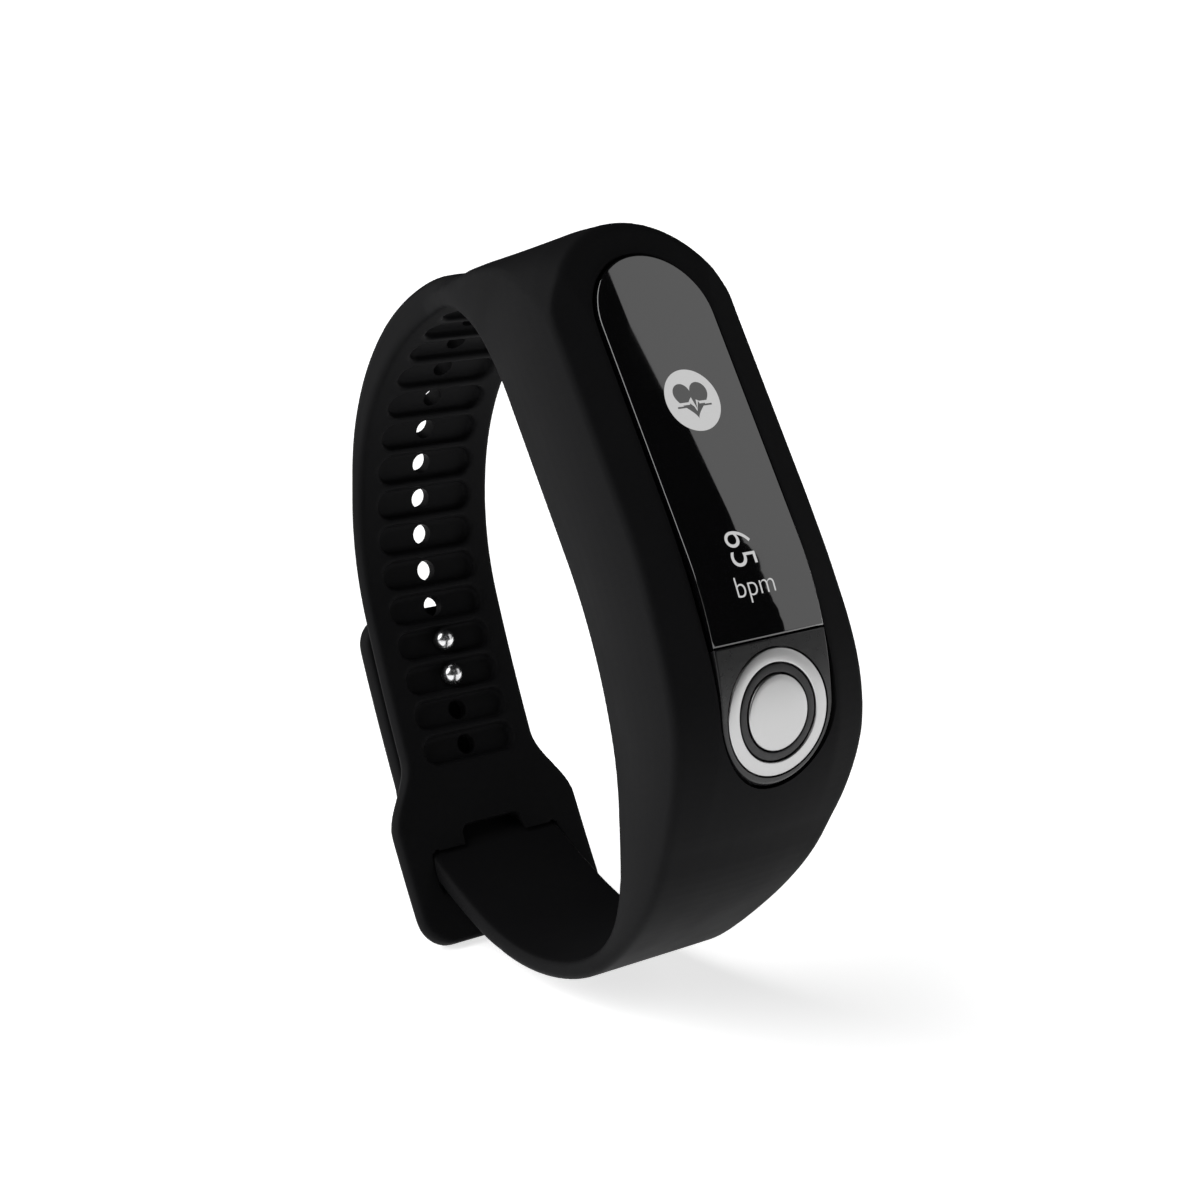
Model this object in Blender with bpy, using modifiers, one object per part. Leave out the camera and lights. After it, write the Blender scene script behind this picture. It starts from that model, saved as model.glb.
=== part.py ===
"""Activity tracker band, closed as if round a wrist.

A removable pod with a curved lens, a round push button and an electrode ring
sits in a one-piece rubber strap. The long strap has a ladder of holes and ends
in a wide paddle with a T-shaped slot. The short strap passes through the slot
and folds back as a tail, whose two studs snap into the ladder.

Three nested frames place everything:
  band frame    X across the band, Y away from the wearer's view, Z up
  pod frame     X across, Y up along the display, Z out of the display
  button frame  X across, Y up along the button, Z out of the button
"""
import math

import bmesh
import bpy
from mathutils import Matrix, Vector

MM = 0.001

# ---- driving dimensions -------------------------------------------------
LENS_HALF_WIDTH = 6.1 * MM
LENS_TOP = 41.0 * MM              # top of the lens above the button centre, along the display
LENS_THICKNESS = 1.0 * MM
LENS_LOWER_EDGE = 6.0 * MM        # where the lens stops and the button surround starts
FLAT_HEIGHT = 3.4 * MM            # flat display face above the button centre
FLAT_START = 14.0 * MM            # where the flat display face starts to bend
FACE_RADIUS = 30.0 * MM           # bend of the face round the button
DISPLAY_TILT = math.radians(57.0)  # display face from level
BUTTON_TILT = math.asin(FLAT_START / FACE_RADIUS)

RING_OUTER = 5.45 * MM
RING_INNER = 4.25 * MM
INSULATOR_OUTER = 4.05 * MM
INSULATOR_INNER = 3.5 * MM
BUTTON_RADIUS = 3.25 * MM

FRAME_HALF_WIDTH = 9.7 * MM
LONG_STRAP_HALF_WIDTH = 7.7 * MM
SHORT_STRAP_HALF_WIDTH = 7.75 * MM
TAIL_HALF_WIDTH = 7.2 * MM
PADDLE_HALF_WIDTH = 10.8 * MM
STRAP_THICKNESS = 1.75 * MM
BACK_START = Vector((18.7, 11.7)) * MM   # (Y, Z) on the wrist side, level with the display's middle
BACK_DEPTH = 9.3 * MM                    # wrist side below the button centre, in the pod frame
BACK_BEND_START = 19.0 * MM
BACK_RADIUS = 49.8 * MM

LADDER_COUNT = 16
LADDER_PITCH = 3.54 * MM
LADDER_FIRST = 81.2 * MM          # run length from BACK_START to the lowest rung
RECESS_HALF_LENGTH = 5.4 * MM
RECESS_HALF_HEIGHT = 1.4 * MM
RECESS_DEPTH = 0.8 * MM
HOLE_RADIUS = 1.2 * MM
STUD_RUNGS = (2, 3)
STUD_HEAD = 0.95 * MM
STUD_NECK = 0.65 * MM

SLOT_HALF_WIDTH = 8.3 * MM
SLOT_START = -0.15 * MM           # where the wide part of the T-slot is cut, along the threaded stretch
SLOT_END = 7.0 * MM
SLOT_CLEARANCE = 0.45 * MM
NOTCH_HALF_WIDTH = 3.5 * MM
NOTCH_START = 88.95 * MM          # run lengths of the narrow part of the T-slot
NOTCH_END = 92.95 * MM
GAP = 0.3 * MM
GROOVE = 0.35 * MM                # open groove between the lens and the rubber rim

SENSOR_PLACE = 12.0 * MM          # heart-rate window on the wrist side, along the pod
ELECTRODES = (("rear_electrode_upper", 27.5 * MM, 10.4 * MM, 4.0 * MM),
              ("rear_electrode_lower", -1.6 * MM, 8.2 * MM, 3.0 * MM))  # name, along the pod, length, width
SCREW_PLACES = tuple((side * 4.9 * MM, along) for along in (33.3 * MM, 3.3 * MM) for side in (-1.0, 1.0))

BAND_CENTRE_Y = 27.86 * MM        # band frame to world: the box is centred over the origin
GROUND = -30.772 * MM             # lowest point of the band, measured from the button centre

# The strap's wrist side is a chain of arcs: (turn in degrees, length).
LONG_RUN = ((0.0, 14.6 * MM), (-9.0, 5.0 * MM), (-68.4, 9.55 * MM), (-60.0, 23.3 * MM),
            (-30.5, 14.4 * MM), (-9.5, 31.8 * MM))
SHORT_RUN = ((0.0, 1.0 * MM), (29.2, 25.3 * MM), (73.5, 18.07 * MM), (40.3, 14.07 * MM),
             (4.5, 5.0 * MM))
THREAD_RUN = ((1.5, 1.5 * MM), (0.0, 3.3 * MM))
TAIL_RUN = ((37.0, 5.2 * MM), (5.2, 18.5 * MM))
LONG_END = sum(length for turn, length in LONG_RUN)
SHORT_END = sum(length for turn, length in SHORT_RUN)
THREAD_END = sum(length for turn, length in THREAD_RUN)
TAIL_END = sum(length for turn, length in TAIL_RUN)


# ---- scene helpers ------------------------------------------------------
for leftover in list(bpy.data.objects):
    bpy.data.objects.remove(leftover, do_unlink=True)

PARTS = bpy.data.collections.new("tracker_band")
CUTTERS = bpy.data.collections.new("cutters")
bpy.context.scene.collection.children.link(PARTS)
bpy.context.scene.collection.children.link(CUTTERS)


def frame_empty(name, parent, location, tilt):
    """An empty that carries a nested frame, turned about X."""
    empty = bpy.data.objects.new(name, None)
    empty.location = location
    empty.rotation_euler = (tilt, 0.0, 0.0)
    empty.parent = parent
    PARTS.objects.link(empty)
    return empty


def material(name, colour, roughness, metallic=0.0):
    """A Principled material of one plain colour."""
    made = bpy.data.materials.new(name)
    made.use_nodes = True
    shader = made.node_tree.nodes["Principled BSDF"]
    shader.inputs["Base Color"].default_value = (*colour, 1.0)
    shader.inputs["Roughness"].default_value = roughness
    shader.inputs["Metallic"].default_value = metallic
    return made


def add_object(name, shape, frame, surface=None):
    """Turn a bmesh into a named object; without a surface it is a cutter."""
    bmesh.ops.recalc_face_normals(shape, faces=shape.faces)
    mesh = bpy.data.meshes.new(name)
    shape.to_mesh(mesh)
    shape.free()
    made = bpy.data.objects.new(name, mesh)
    made.parent = frame
    if surface is None:
        CUTTERS.objects.link(made)
        made.hide_render = True
        made.display_type = "WIRE"
    else:
        PARTS.objects.link(made)
        mesh.materials.append(surface)
        mesh.shade_smooth()
        mesh.set_sharp_from_angle(angle=math.radians(35.0))
    return made


def boolean(target, tool, operation):
    """Combine target with tool by a live Boolean modifier."""
    step = target.modifiers.new(operation.lower() + "_" + tool.name, "BOOLEAN")
    step.operation = operation
    step.object = tool
    step.solver = "EXACT"


def cut(target, *tools):
    for tool in tools:
        boolean(target, tool, "DIFFERENCE")


# ---- shapes -------------------------------------------------------------
def prism(outline, low, high, across=False):
    """Extrude a flat outline along Z, or along X when the outline is (Y, Z)."""
    shape = bmesh.new()
    place = (lambda p, h: (h, p[0], p[1])) if across else (lambda p, h: (p[0], p[1], h))
    base = shape.faces.new([shape.verts.new(place(p, low)) for p in outline])
    grown = bmesh.ops.extrude_face_region(shape, geom=[base])
    lift = Vector(place((0.0, 0.0), high - low))
    moved = [item for item in grown["geom"] if isinstance(item, bmesh.types.BMVert)]
    bmesh.ops.translate(shape, verts=moved, vec=lift)
    return shape


def box_shape(size, centre):
    shape = bmesh.new()
    bmesh.ops.create_cube(shape, size=1.0)
    bmesh.ops.scale(shape, verts=shape.verts, vec=size)
    bmesh.ops.translate(shape, verts=shape.verts, vec=centre)
    return shape


def rounded_box(size, centre, radius):
    """A box with its four upright edges rounded."""
    shape = box_shape(size, centre)
    upright = [e for e in shape.edges if abs(e.verts[0].co.z - e.verts[1].co.z) > size[2] / 2]
    bmesh.ops.bevel(shape, geom=upright, offset=radius, segments=3, affect="EDGES", profile=0.5)
    return shape


def disc_shape(radius, low, high, centre=(0.0, 0.0), segments=32):
    shape = bmesh.new()
    bmesh.ops.create_cone(shape, cap_ends=True, segments=segments, radius1=radius, radius2=radius,
                          depth=high - low)
    bmesh.ops.translate(shape, verts=shape.verts, vec=(centre[0], centre[1], (low + high) / 2))
    return shape


def turned(name, profile, frame, surface, segments=20):
    """Turn a profile about Z; it runs down the outside from the top of the axis."""
    shape = bmesh.new()
    verts = [shape.verts.new((radius, 0.0, height)) for radius, height in profile]
    for upper, lower in zip(verts, verts[1:]):
        shape.edges.new((upper, lower))
    made = add_object(name, shape, frame, surface)
    screw = made.modifiers.new("turn", "SCREW")
    screw.axis = "Z"
    screw.steps = segments
    screw.render_steps = segments
    screw.use_merge_vertices = True
    screw.merge_threshold = 0.00001
    return made


def arc(centre, radii, start, end, steps):
    """Points on an elliptical arc, angles in degrees."""
    points = []
    for i in range(steps + 1):
        angle = math.radians(start + (end - start) * i / steps)
        points.append((centre[0] + radii[0] * math.cos(angle), centre[1] + radii[1] * math.sin(angle)))
    return points


def pod_outline(margin, steps=14):
    """The lens outline seen along the display, grown by margin."""
    half = LENS_HALF_WIDTH + margin
    # The lower end is a circle on the bent face, so it is an ellipse from the front.
    low_centre, low_radius = 0.29 * MM, 5.36 * MM + margin
    top_centre = LENS_TOP - LENS_HALF_WIDTH
    return (arc((0.0, top_centre), (half, half), 0.0, 180.0, steps)
            + arc((0.0, low_centre), (half, low_radius), 180.0, 360.0, steps))


def face_height(along):
    """The front face in the pod frame: flat, then bent round the button."""
    below = max(0.0, FLAT_START - along)
    return FLAT_HEIGHT - (FACE_RADIUS - math.sqrt(FACE_RADIUS ** 2 - below ** 2))


def back_height(along):
    """The wrist side in the pod frame: flat, then bent towards the wrist."""
    below = max(0.0, BACK_BEND_START - along)
    return -BACK_DEPTH - (BACK_RADIUS - math.sqrt(BACK_RADIUS ** 2 - below ** 2))


def layer(top_curve, top_offset, low_curve, low_offset, low_end, high_end, half_width=12.0 * MM):
    """A slab across the pod between two lengthwise curves."""
    steps = 12
    stations = [low_end + (high_end - low_end) * i / steps for i in range(steps + 1)]
    upper = [(a, top_curve(a) + top_offset) for a in stations]
    lower = [(a, low_curve(a) + low_offset) for a in reversed(stations)]
    return prism(upper + lower, -half_width, half_width, across=True)


def smooth(start, end, value):
    """0 before start, 1 after end, eased between."""
    t = min(1.0, max(0.0, (value - start) / (end - start)))
    return t * t * (3.0 - 2.0 * t)


def stations_value(stations, value):
    """Straight interpolation between (place, size) stations."""
    if value <= stations[0][0]:
        return stations[0][1]
    for (start, low), (end, high) in zip(stations, stations[1:]):
        if value <= end:
            return low + (high - low) * (value - start) / (end - start)
    return stations[-1][1]


# ---- strap path ---------------------------------------------------------
def run_point(start, heading, run, distance):
    """Position and heading at a distance along a chain of arcs in (Y, Z)."""
    place = Vector(start)
    left = distance
    for turn, length in run:
        used = min(left, length)
        bend = math.radians(turn) * used / length
        if abs(bend) < 1e-9:
            place += Vector((math.cos(heading), math.sin(heading))) * used
        else:
            radius = used / bend
            centre = place + Vector((-math.sin(heading), math.cos(heading))) * radius
            heading += bend
            place = centre + Vector((math.sin(heading), -math.cos(heading))) * radius
        left -= used
        if left <= 0.0:
            break
    return place, heading


def long_run(distance):
    """Wrist-side point and outward direction on the long strap."""
    place, heading = run_point(BACK_START, DISPLAY_TILT, LONG_RUN, distance)
    return place, Vector((-math.sin(heading), math.cos(heading)))


def short_run(distance):
    """Wrist-side point and outward direction on the short strap."""
    place, heading = run_point(BACK_START, DISPLAY_TILT + math.pi, SHORT_RUN, distance)
    return place, Vector((math.sin(heading), -math.cos(heading)))


def gap_after(run_end, heading):
    """The start of the next piece, a gap further on."""
    return run_end + Vector((math.cos(heading), math.sin(heading))) * GAP


SHORT_TIP, SHORT_TIP_HEADING = run_point(BACK_START, DISPLAY_TILT + math.pi, SHORT_RUN, SHORT_END)
THREAD_START = gap_after(SHORT_TIP, SHORT_TIP_HEADING)
THREAD_TIP, THREAD_TIP_HEADING = run_point(THREAD_START, SHORT_TIP_HEADING, THREAD_RUN, THREAD_END)
TAIL_START = gap_after(THREAD_TIP, THREAD_TIP_HEADING)


def thread_run(distance):
    """Inner-face point and outward direction where the short strap passes the slot."""
    place, heading = run_point(THREAD_START, SHORT_TIP_HEADING, THREAD_RUN, distance)
    return place, Vector((math.sin(heading), -math.cos(heading)))


def tail_run(distance):
    """Point on the tail's inner face and its outward direction."""
    place, heading = run_point(TAIL_START, THREAD_TIP_HEADING, TAIL_RUN, distance)
    return place, Vector((math.sin(heading), -math.cos(heading)))


def run_frame(run, distance):
    """Matrix whose Z points outwards from the run and whose X runs across the band."""
    place, out = run(distance)
    across = Vector((1.0, 0.0, 0.0))
    outward = Vector((0.0, out.x, out.y))
    along = outward.cross(across)
    matrix = Matrix((across, along, outward)).transposed().to_4x4()
    matrix.translation = Vector((0.0, place.x, place.y))
    return matrix


def strap_section(inner_half, outer_half, thickness, corner, crown, rim_half):
    """Half of a strap section as (across, outwards), from the wrist side to the front."""
    soft = 0.3 * MM
    side = [(inner_half - soft, 0.0), (inner_half, soft)]
    side += arc((outer_half - corner, thickness - corner), (corner, corner), 0.0, 90.0, 3)
    side.append((rim_half, thickness + crown))
    return side


def add_ring(shape, matrix, half_section):
    mirrored = [(-x, out) for x, out in reversed(half_section)]
    return [shape.verts.new(matrix @ Vector((x, 0.0, out))) for x, out in half_section + mirrored]


def close_loft(shape, rings):
    """Skin a row of vertex rings and cap both ends."""
    for first, second in zip(rings, rings[1:]):
        for i in range(len(first)):
            j = (i + 1) % len(first)
            shape.faces.new((first[i], first[j], second[j], second[i]))
    shape.faces.new(rings[0])
    shape.faces.new(rings[-1])
    # Twisted quads confuse a Boolean, so the skin is made of flat triangles.
    bmesh.ops.triangulate(shape, faces=shape.faces)


def spread(marks, longest):
    """Distances from the first mark to the last, no further apart than longest."""
    places = [marks[0]]
    for start, end in zip(marks, marks[1:]):
        count = max(1, math.ceil(abs(end - start) / longest))
        places += [start + (end - start) * (i + 1) / count for i in range(count)]
    return places


# Sizes along each run as (distance from BACK_START, size).
LONG_DEPTH = ((0.0, 10.95 * MM), (14.6 * MM, 10.95 * MM), (19.6 * MM, 11.8 * MM), (20.8 * MM, 12.3 * MM),
              (21.2 * MM, 11.2 * MM), (22.1 * MM, 7.8 * MM), (23.4 * MM, 5.3 * MM), (25.3 * MM, 3.6 * MM),
              (27.2 * MM, 2.8 * MM), (29.1 * MM, 2.35 * MM), (35.0 * MM, STRAP_THICKNESS))
SHORT_DEPTH = ((0.0, 10.95 * MM), (6.1 * MM, 11.0 * MM), (11.1 * MM, 11.1 * MM), (16.2 * MM, 10.6 * MM),
               (21.2 * MM, 8.7 * MM), (26.3 * MM, 6.1 * MM), (29.9 * MM, 3.9 * MM), (33.5 * MM, 2.5 * MM),
               (37.5 * MM, STRAP_THICKNESS))
TIP_CORNER = 3.0 * MM


def tip_inset(distance, end):
    """How far a rounded tip has drawn in at a distance from its end."""
    left = TIP_CORNER - (end - distance)
    if left <= 0.0:
        return 0.0
    return TIP_CORNER - math.sqrt(max(0.0, TIP_CORNER ** 2 - left ** 2))


def long_section(distance):
    depth = stations_value(LONG_DEPTH, distance)
    to_strap = smooth(15.0 * MM, 32.0 * MM, distance)
    to_paddle = smooth(81.5 * MM, 88.5 * MM, distance)
    half = FRAME_HALF_WIDTH + (LONG_STRAP_HALF_WIDTH - FRAME_HALF_WIDTH) * to_strap
    half += (PADDLE_HALF_WIDTH - LONG_STRAP_HALF_WIDTH) * to_paddle
    half -= tip_inset(distance, LONG_END)
    inner = half - 0.9 * MM * (1.0 - to_strap) - 0.1 * MM
    crown = 1.05 * MM * (1.0 - smooth(16.5 * MM, 20.8 * MM, distance))
    corner = 0.9 * MM + 0.3 * MM * to_strap
    rim = min(LENS_HALF_WIDTH + 0.5 * MM, half - corner - 0.2 * MM)
    return strap_section(inner, half, depth, corner, crown, rim)


def short_section(distance):
    depth = stations_value(SHORT_DEPTH, distance)
    to_strap = smooth(18.0 * MM, 40.0 * MM, distance)
    half = FRAME_HALF_WIDTH + (SHORT_STRAP_HALF_WIDTH - FRAME_HALF_WIDTH) * to_strap
    inner = half - 0.9 * MM * (1.0 - to_strap) - 0.1 * MM
    crown = 1.05 * MM * (1.0 - to_strap) + 0.8 * MM * smooth(8.0 * MM, 20.0 * MM, distance) * (1.0 - to_strap)
    corner = 0.9 * MM + 0.3 * MM * to_strap
    rim = min(LENS_HALF_WIDTH + 0.5 * MM, half - corner - 0.2 * MM)
    return strap_section(inner, half, depth, corner, crown, rim)


def tail_section(distance):
    half = TAIL_HALF_WIDTH - tip_inset(distance, TAIL_END)
    thickness = STRAP_THICKNESS + 0.25 * MM * smooth(0.0, 6.0 * MM, distance)
    return strap_section(half - 0.1 * MM, half, thickness, 0.9 * MM, 0.0, half - 1.2 * MM)


# ---- parts --------------------------------------------------------------
RUBBER = material("black_rubber", (0.012, 0.012, 0.013), 0.55)
LENS = material("black_lens", (0.004, 0.004, 0.005), 0.04)
DARK_PLASTIC = material("dark_plastic", (0.035, 0.035, 0.037), 0.35)
STEEL = material("brushed_steel", (0.62, 0.62, 0.61), 0.3, 1.0)
CHROME = material("polished_steel", (0.75, 0.75, 0.76), 0.12, 1.0)
BOARD = material("circuit_board", (0.01, 0.10, 0.05), 0.5)
CHIP = material("chip_plastic", (0.02, 0.02, 0.022), 0.4)
CELL = material("battery_foil", (0.45, 0.46, 0.48), 0.35, 0.6)
GLASS = material("clear_window", (0.03, 0.03, 0.035), 0.05)
COPPER = material("flex_film", (0.42, 0.20, 0.05), 0.4)

BAND = frame_empty("band_frame", None, (0.0, -BAND_CENTRE_Y, -GROUND), 0.0)
POD = frame_empty("pod_frame", BAND, (0.0, 0.0, 0.0), DISPLAY_TILT)
BUTTON = frame_empty("button_frame", POD, (0.0, 0.0, face_height(0.0)), BUTTON_TILT)


def run_empty(name, run, distance):
    """A frame on the strap: X across, Z outwards."""
    empty = bpy.data.objects.new(name, None)
    empty.parent = BAND
    empty.matrix_local = run_frame(run, distance)
    PARTS.objects.link(empty)
    return empty


def make_strap():
    """The one-piece rubber moulding: pod frame, long strap and short strap."""
    shape = bmesh.new()
    rounded_tip = [LONG_END - TIP_CORNER * f for f in (0.0, 0.07, 0.25, 0.55, 1.0)]
    long_marks = spread(rounded_tip, 10.0 * MM)
    long_marks += spread([rounded_tip[-1], 88.5 * MM, 81.5 * MM], 1.8 * MM)[1:]
    long_marks += spread([81.5 * MM, 66.9 * MM], 5.0 * MM)[1:]
    long_marks += spread([66.9 * MM, 35.0 * MM], 2.9 * MM)[1:]
    long_marks += spread([35.0 * MM, 29.15 * MM, 27.2 * MM, 25.3 * MM], 2.0 * MM)[1:]
    long_marks += spread([25.3 * MM, 23.4 * MM, 22.1 * MM, 21.2 * MM, 20.8 * MM, 19.6 * MM], 1.0 * MM)[1:]
    long_marks += [17.5 * MM, 14.6 * MM, 7.0 * MM, 0.0]
    rings = [add_ring(shape, run_frame(long_run, d), long_section(d)) for d in long_marks]
    short_marks = spread([1.0 * MM, 26.3 * MM, 44.37 * MM, SHORT_END], 2.1 * MM)
    rings += [add_ring(shape, run_frame(short_run, d), short_section(d)) for d in short_marks]
    close_loft(shape, rings)
    strap = add_object("strap", shape, BAND, RUBBER)

    shoulder = make_shoulder_cutter()
    opening = add_object("lens_opening", prism(pod_outline(GROOVE), -20.0 * MM, 8.0 * MM), POD)
    pocket = add_object("pod_pocket", prism(pod_outline(1.35 * MM), -30.0 * MM, 8.0 * MM), POD)
    ceiling = add_object("pocket_ceiling", layer(face_height, -2.3 * MM, back_height, -12.0 * MM,
                                                 -12.0 * MM, 48.0 * MM), POD)
    boolean(pocket, ceiling, "INTERSECT")
    cut(strap, shoulder, pocket, opening, make_ladder_recesses(), make_ladder_holes())
    cut(strap, make_slot_cutter(), make_notch_cutter())
    return strap


def make_shoulder_cutter():
    """Trims the front's top end to a half-round that flares into the strap."""
    crease_half = FRAME_HALF_WIDTH - 0.25 * MM
    crease_centre = 44.65 * MM - crease_half
    low, high = -3.6 * MM, 2.1 * MM
    flare = 3.6 * MM
    inner = bmesh.new()
    rings = []
    for height, grown in ((low - 1.0 * MM, flare), (low, flare), (high, 0.0), (6.0 * MM, -1.2 * MM)):
        radius = crease_half + grown
        outline = arc((0.0, crease_centre), (radius, radius), 0.0, 180.0, 16)
        outline += [(-radius, 20.0 * MM), (radius, 20.0 * MM)]
        rings.append([inner.verts.new((x, a, height)) for x, a in outline])
    close_loft(inner, rings)
    core = add_object("shoulder_core", inner, POD)
    block = add_object("shoulder_cutter", box_shape((30.0 * MM, 24.0 * MM, 9.0 * MM),
                                                    (0.0, 48.0 * MM, 4.5 * MM + low)), POD)
    boolean(block, core, "DIFFERENCE")
    return block


def make_ladder_recesses():
    """Half-round-ended recesses on the wrist side of the long strap."""
    joined = bmesh.new()
    flat = RECESS_HALF_LENGTH - RECESS_HALF_HEIGHT
    for rung in range(LADDER_COUNT):
        matrix = run_frame(long_run, LADDER_FIRST - rung * LADDER_PITCH)
        outline = arc((flat, 0.0), (RECESS_HALF_HEIGHT, RECESS_HALF_HEIGHT), -90.0, 90.0, 4)
        outline += arc((-flat, 0.0), (RECESS_HALF_HEIGHT, RECESS_HALF_HEIGHT), 90.0, 270.0, 4)
        append_shape(joined, prism(outline, -1.5 * MM, RECESS_DEPTH), matrix)
    return add_object("ladder_recesses", joined, BAND)


def make_ladder_holes():
    joined = bmesh.new()
    for rung in range(LADDER_COUNT):
        matrix = run_frame(long_run, LADDER_FIRST - rung * LADDER_PITCH)
        append_shape(joined, disc_shape(HOLE_RADIUS, -1.0 * MM, 4.5 * MM, segments=12), matrix)
    return add_object("ladder_holes", joined, BAND)


def append_shape(joined, shape, matrix):
    """Copy a small closed shape into a joined one, moved by matrix."""
    bmesh.ops.recalc_face_normals(shape, faces=shape.faces)
    copied = {v: joined.verts.new(matrix @ v.co) for v in shape.verts}
    for face in shape.faces:
        joined.faces.new([copied[v] for v in face.verts])
    shape.free()


def make_slot_cutter():
    """The wide part of the T-slot, slanted along the short strap that passes through it."""
    middle = (SLOT_START + SLOT_END) / 2
    frame = run_empty("slot_frame", thread_run, middle)
    size = (2 * SLOT_HALF_WIDTH, SLOT_END - SLOT_START, STRAP_THICKNESS + 2 * SLOT_CLEARANCE)
    return add_object("slot_cutter", box_shape(size, (0.0, 0.0, STRAP_THICKNESS / 2)), frame)


def make_notch_cutter():
    """The narrow part of the T-slot, where the studs pass."""
    frame = run_empty("notch_frame", long_run, (NOTCH_START + NOTCH_END) / 2)
    size = (2 * NOTCH_HALF_WIDTH, NOTCH_END - NOTCH_START, 4.0 * MM)
    shape = rounded_box(size, (0.0, 0.0, 0.9 * MM), 0.6 * MM)
    return add_object("notch_cutter", shape, frame)


def make_thread():
    """The stretch of the short strap inside the T-slot."""
    shape = bmesh.new()
    marks = spread([0.0, THREAD_END], 1.7 * MM)
    section = strap_section(SHORT_STRAP_HALF_WIDTH - 0.1 * MM, SHORT_STRAP_HALF_WIDTH, STRAP_THICKNESS,
                            0.9 * MM, 0.0, SHORT_STRAP_HALF_WIDTH - 1.2 * MM)
    close_loft(shape, [add_ring(shape, run_frame(thread_run, d), section) for d in marks])
    return add_object("strap_in_slot", shape, BAND, RUBBER)


def make_tail():
    """The folded tail outside the long strap, with room for the clasp plate and studs."""
    shape = bmesh.new()
    marks = spread([0.0, 5.2 * MM], 1.1 * MM) + spread([5.2 * MM, TAIL_END - TIP_CORNER], 4.0 * MM)[1:]
    marks += [TAIL_END - TIP_CORNER * f for f in (0.55, 0.25, 0.07, 0.0)]
    close_loft(shape, [add_ring(shape, run_frame(tail_run, d), tail_section(d)) for d in marks])
    return add_object("strap_tail", shape, BAND, RUBBER)


def make_clasp():
    """The clasp plate on the tail and its two studs through the ladder."""
    lower = LADDER_FIRST - STUD_RUNGS[0] * LADDER_PITCH
    upper = LADDER_FIRST - STUD_RUNGS[1] * LADDER_PITCH
    middle = run_empty("clasp_frame", long_run, (lower + upper) / 2)
    floor = STRAP_THICKNESS + 2.3 * MM
    plate_low = floor + GAP
    recess = rounded_box((10.6 * MM, 9.6 * MM, 4.0 * MM), (0.0, 0.0, floor + 2.0 * MM), 2.0 * MM)
    plate = rounded_box((10.0 * MM, 9.0 * MM, 0.8 * MM), (0.0, 0.0, plate_low + 0.4 * MM), 1.7 * MM)
    cutters = [add_object("plate_recess", recess, middle)]
    add_object("clasp_plate", plate, middle, STEEL)
    for name, place in (("clasp_stud_lower", lower), ("clasp_stud_upper", upper)):
        frame = run_empty(name + "_frame", long_run, place)
        # A ball head on the wrist side, a thin neck through both straps.
        head = [(STUD_HEAD * math.sin(math.radians(a)), -STUD_HEAD * math.cos(math.radians(a)))
                for a in (0, 22, 45, 68, 90, 115)]
        profile = [(0.0, floor), (STUD_NECK, floor)]
        profile += [(r, z + 0.25 * MM) for r, z in reversed(head)]
        turned(name, profile, frame, CHROME, segments=16)
        cutters.append(add_object(name + "_hole", disc_shape(STUD_NECK + GAP, 2.2 * MM, 6.0 * MM,
                                                             segments=12), frame))
    return cutters


def pod_slab(name, margin, top_curve, top_offset, low_curve, low_offset, surface,
             low_end=-12.0 * MM, high_end=48.0 * MM):
    """A pod-shaped slab between two lengthwise curves."""
    made = add_object(name, prism(pod_outline(margin), -30.0 * MM, 10.0 * MM), POD, surface)
    band = layer(top_curve, top_offset, low_curve, low_offset, low_end, high_end)
    boolean(made, add_object(name + "_layer", band, POD), "INTERSECT")
    return made


def make_housing():
    """The pod's upper shell, with a raised seat for lens and button."""
    housing = pod_slab("pod_top_housing", 1.05 * MM, face_height, -2.6 * MM, back_height, 1.7 * MM, DARK_PLASTIC)
    seat = pod_slab("housing_seat", 0.0, face_height, -1.3 * MM, face_height, -3.2 * MM, None)
    boolean(housing, seat, "UNION")
    cavity = pod_slab("housing_cavity", 0.15 * MM, face_height, -3.5 * MM, back_height, -2.0 * MM, None)
    for index, (x, a) in enumerate(SCREW_PLACES):
        boss = add_object(f"boss_{index}", disc_shape(1.5 * MM, -20.0 * MM, boss_top(a), (x, a), 16), POD)
        cut(cavity, boss)
    usb = box_shape((8.0 * MM, 5.0 * MM, 3.2 * MM), (0.0, 42.0 * MM, -3.5 * MM))
    window = box_shape((9.4 * MM, 27.6 * MM, 8.0 * MM), (0.0, 20.4 * MM, 2.0 * MM))
    channel = box_shape((5.6 * MM, 4.4 * MM, 4.0 * MM), (0.0, 35.6 * MM, -0.6 * MM))
    dish = pod_slab("surround_dish", 0.3 * MM, face_height, 1.0 * MM, face_height, -2.4 * MM, None,
                    high_end=LENS_LOWER_EDGE)
    shaft = add_object("switch_shaft", disc_shape(2.9 * MM, -8.0 * MM, 1.0 * MM, segments=24), BUTTON)
    cut(housing, cavity, add_object("usb_opening", usb, POD), add_object("display_window", window, POD),
        add_object("flex_channel", channel, POD), dish, shaft)
    cut(housing, *[screw_hole(index, x, a, 0.8 * MM, -30.0 * MM, boss_top(a) - 0.6 * MM)
                   for index, (x, a) in enumerate(SCREW_PLACES)])
    return housing


def boss_top(along):
    """The screw bosses stand a little over 4 mm from the wrist-side edge."""
    return back_height(along) + 5.9 * MM


def screw_hole(index, x, along, radius, low, high):
    return add_object(f"screw_hole_{index}_{radius:.5f}", disc_shape(radius, low, high, (x, along), 12), POD)


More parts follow.
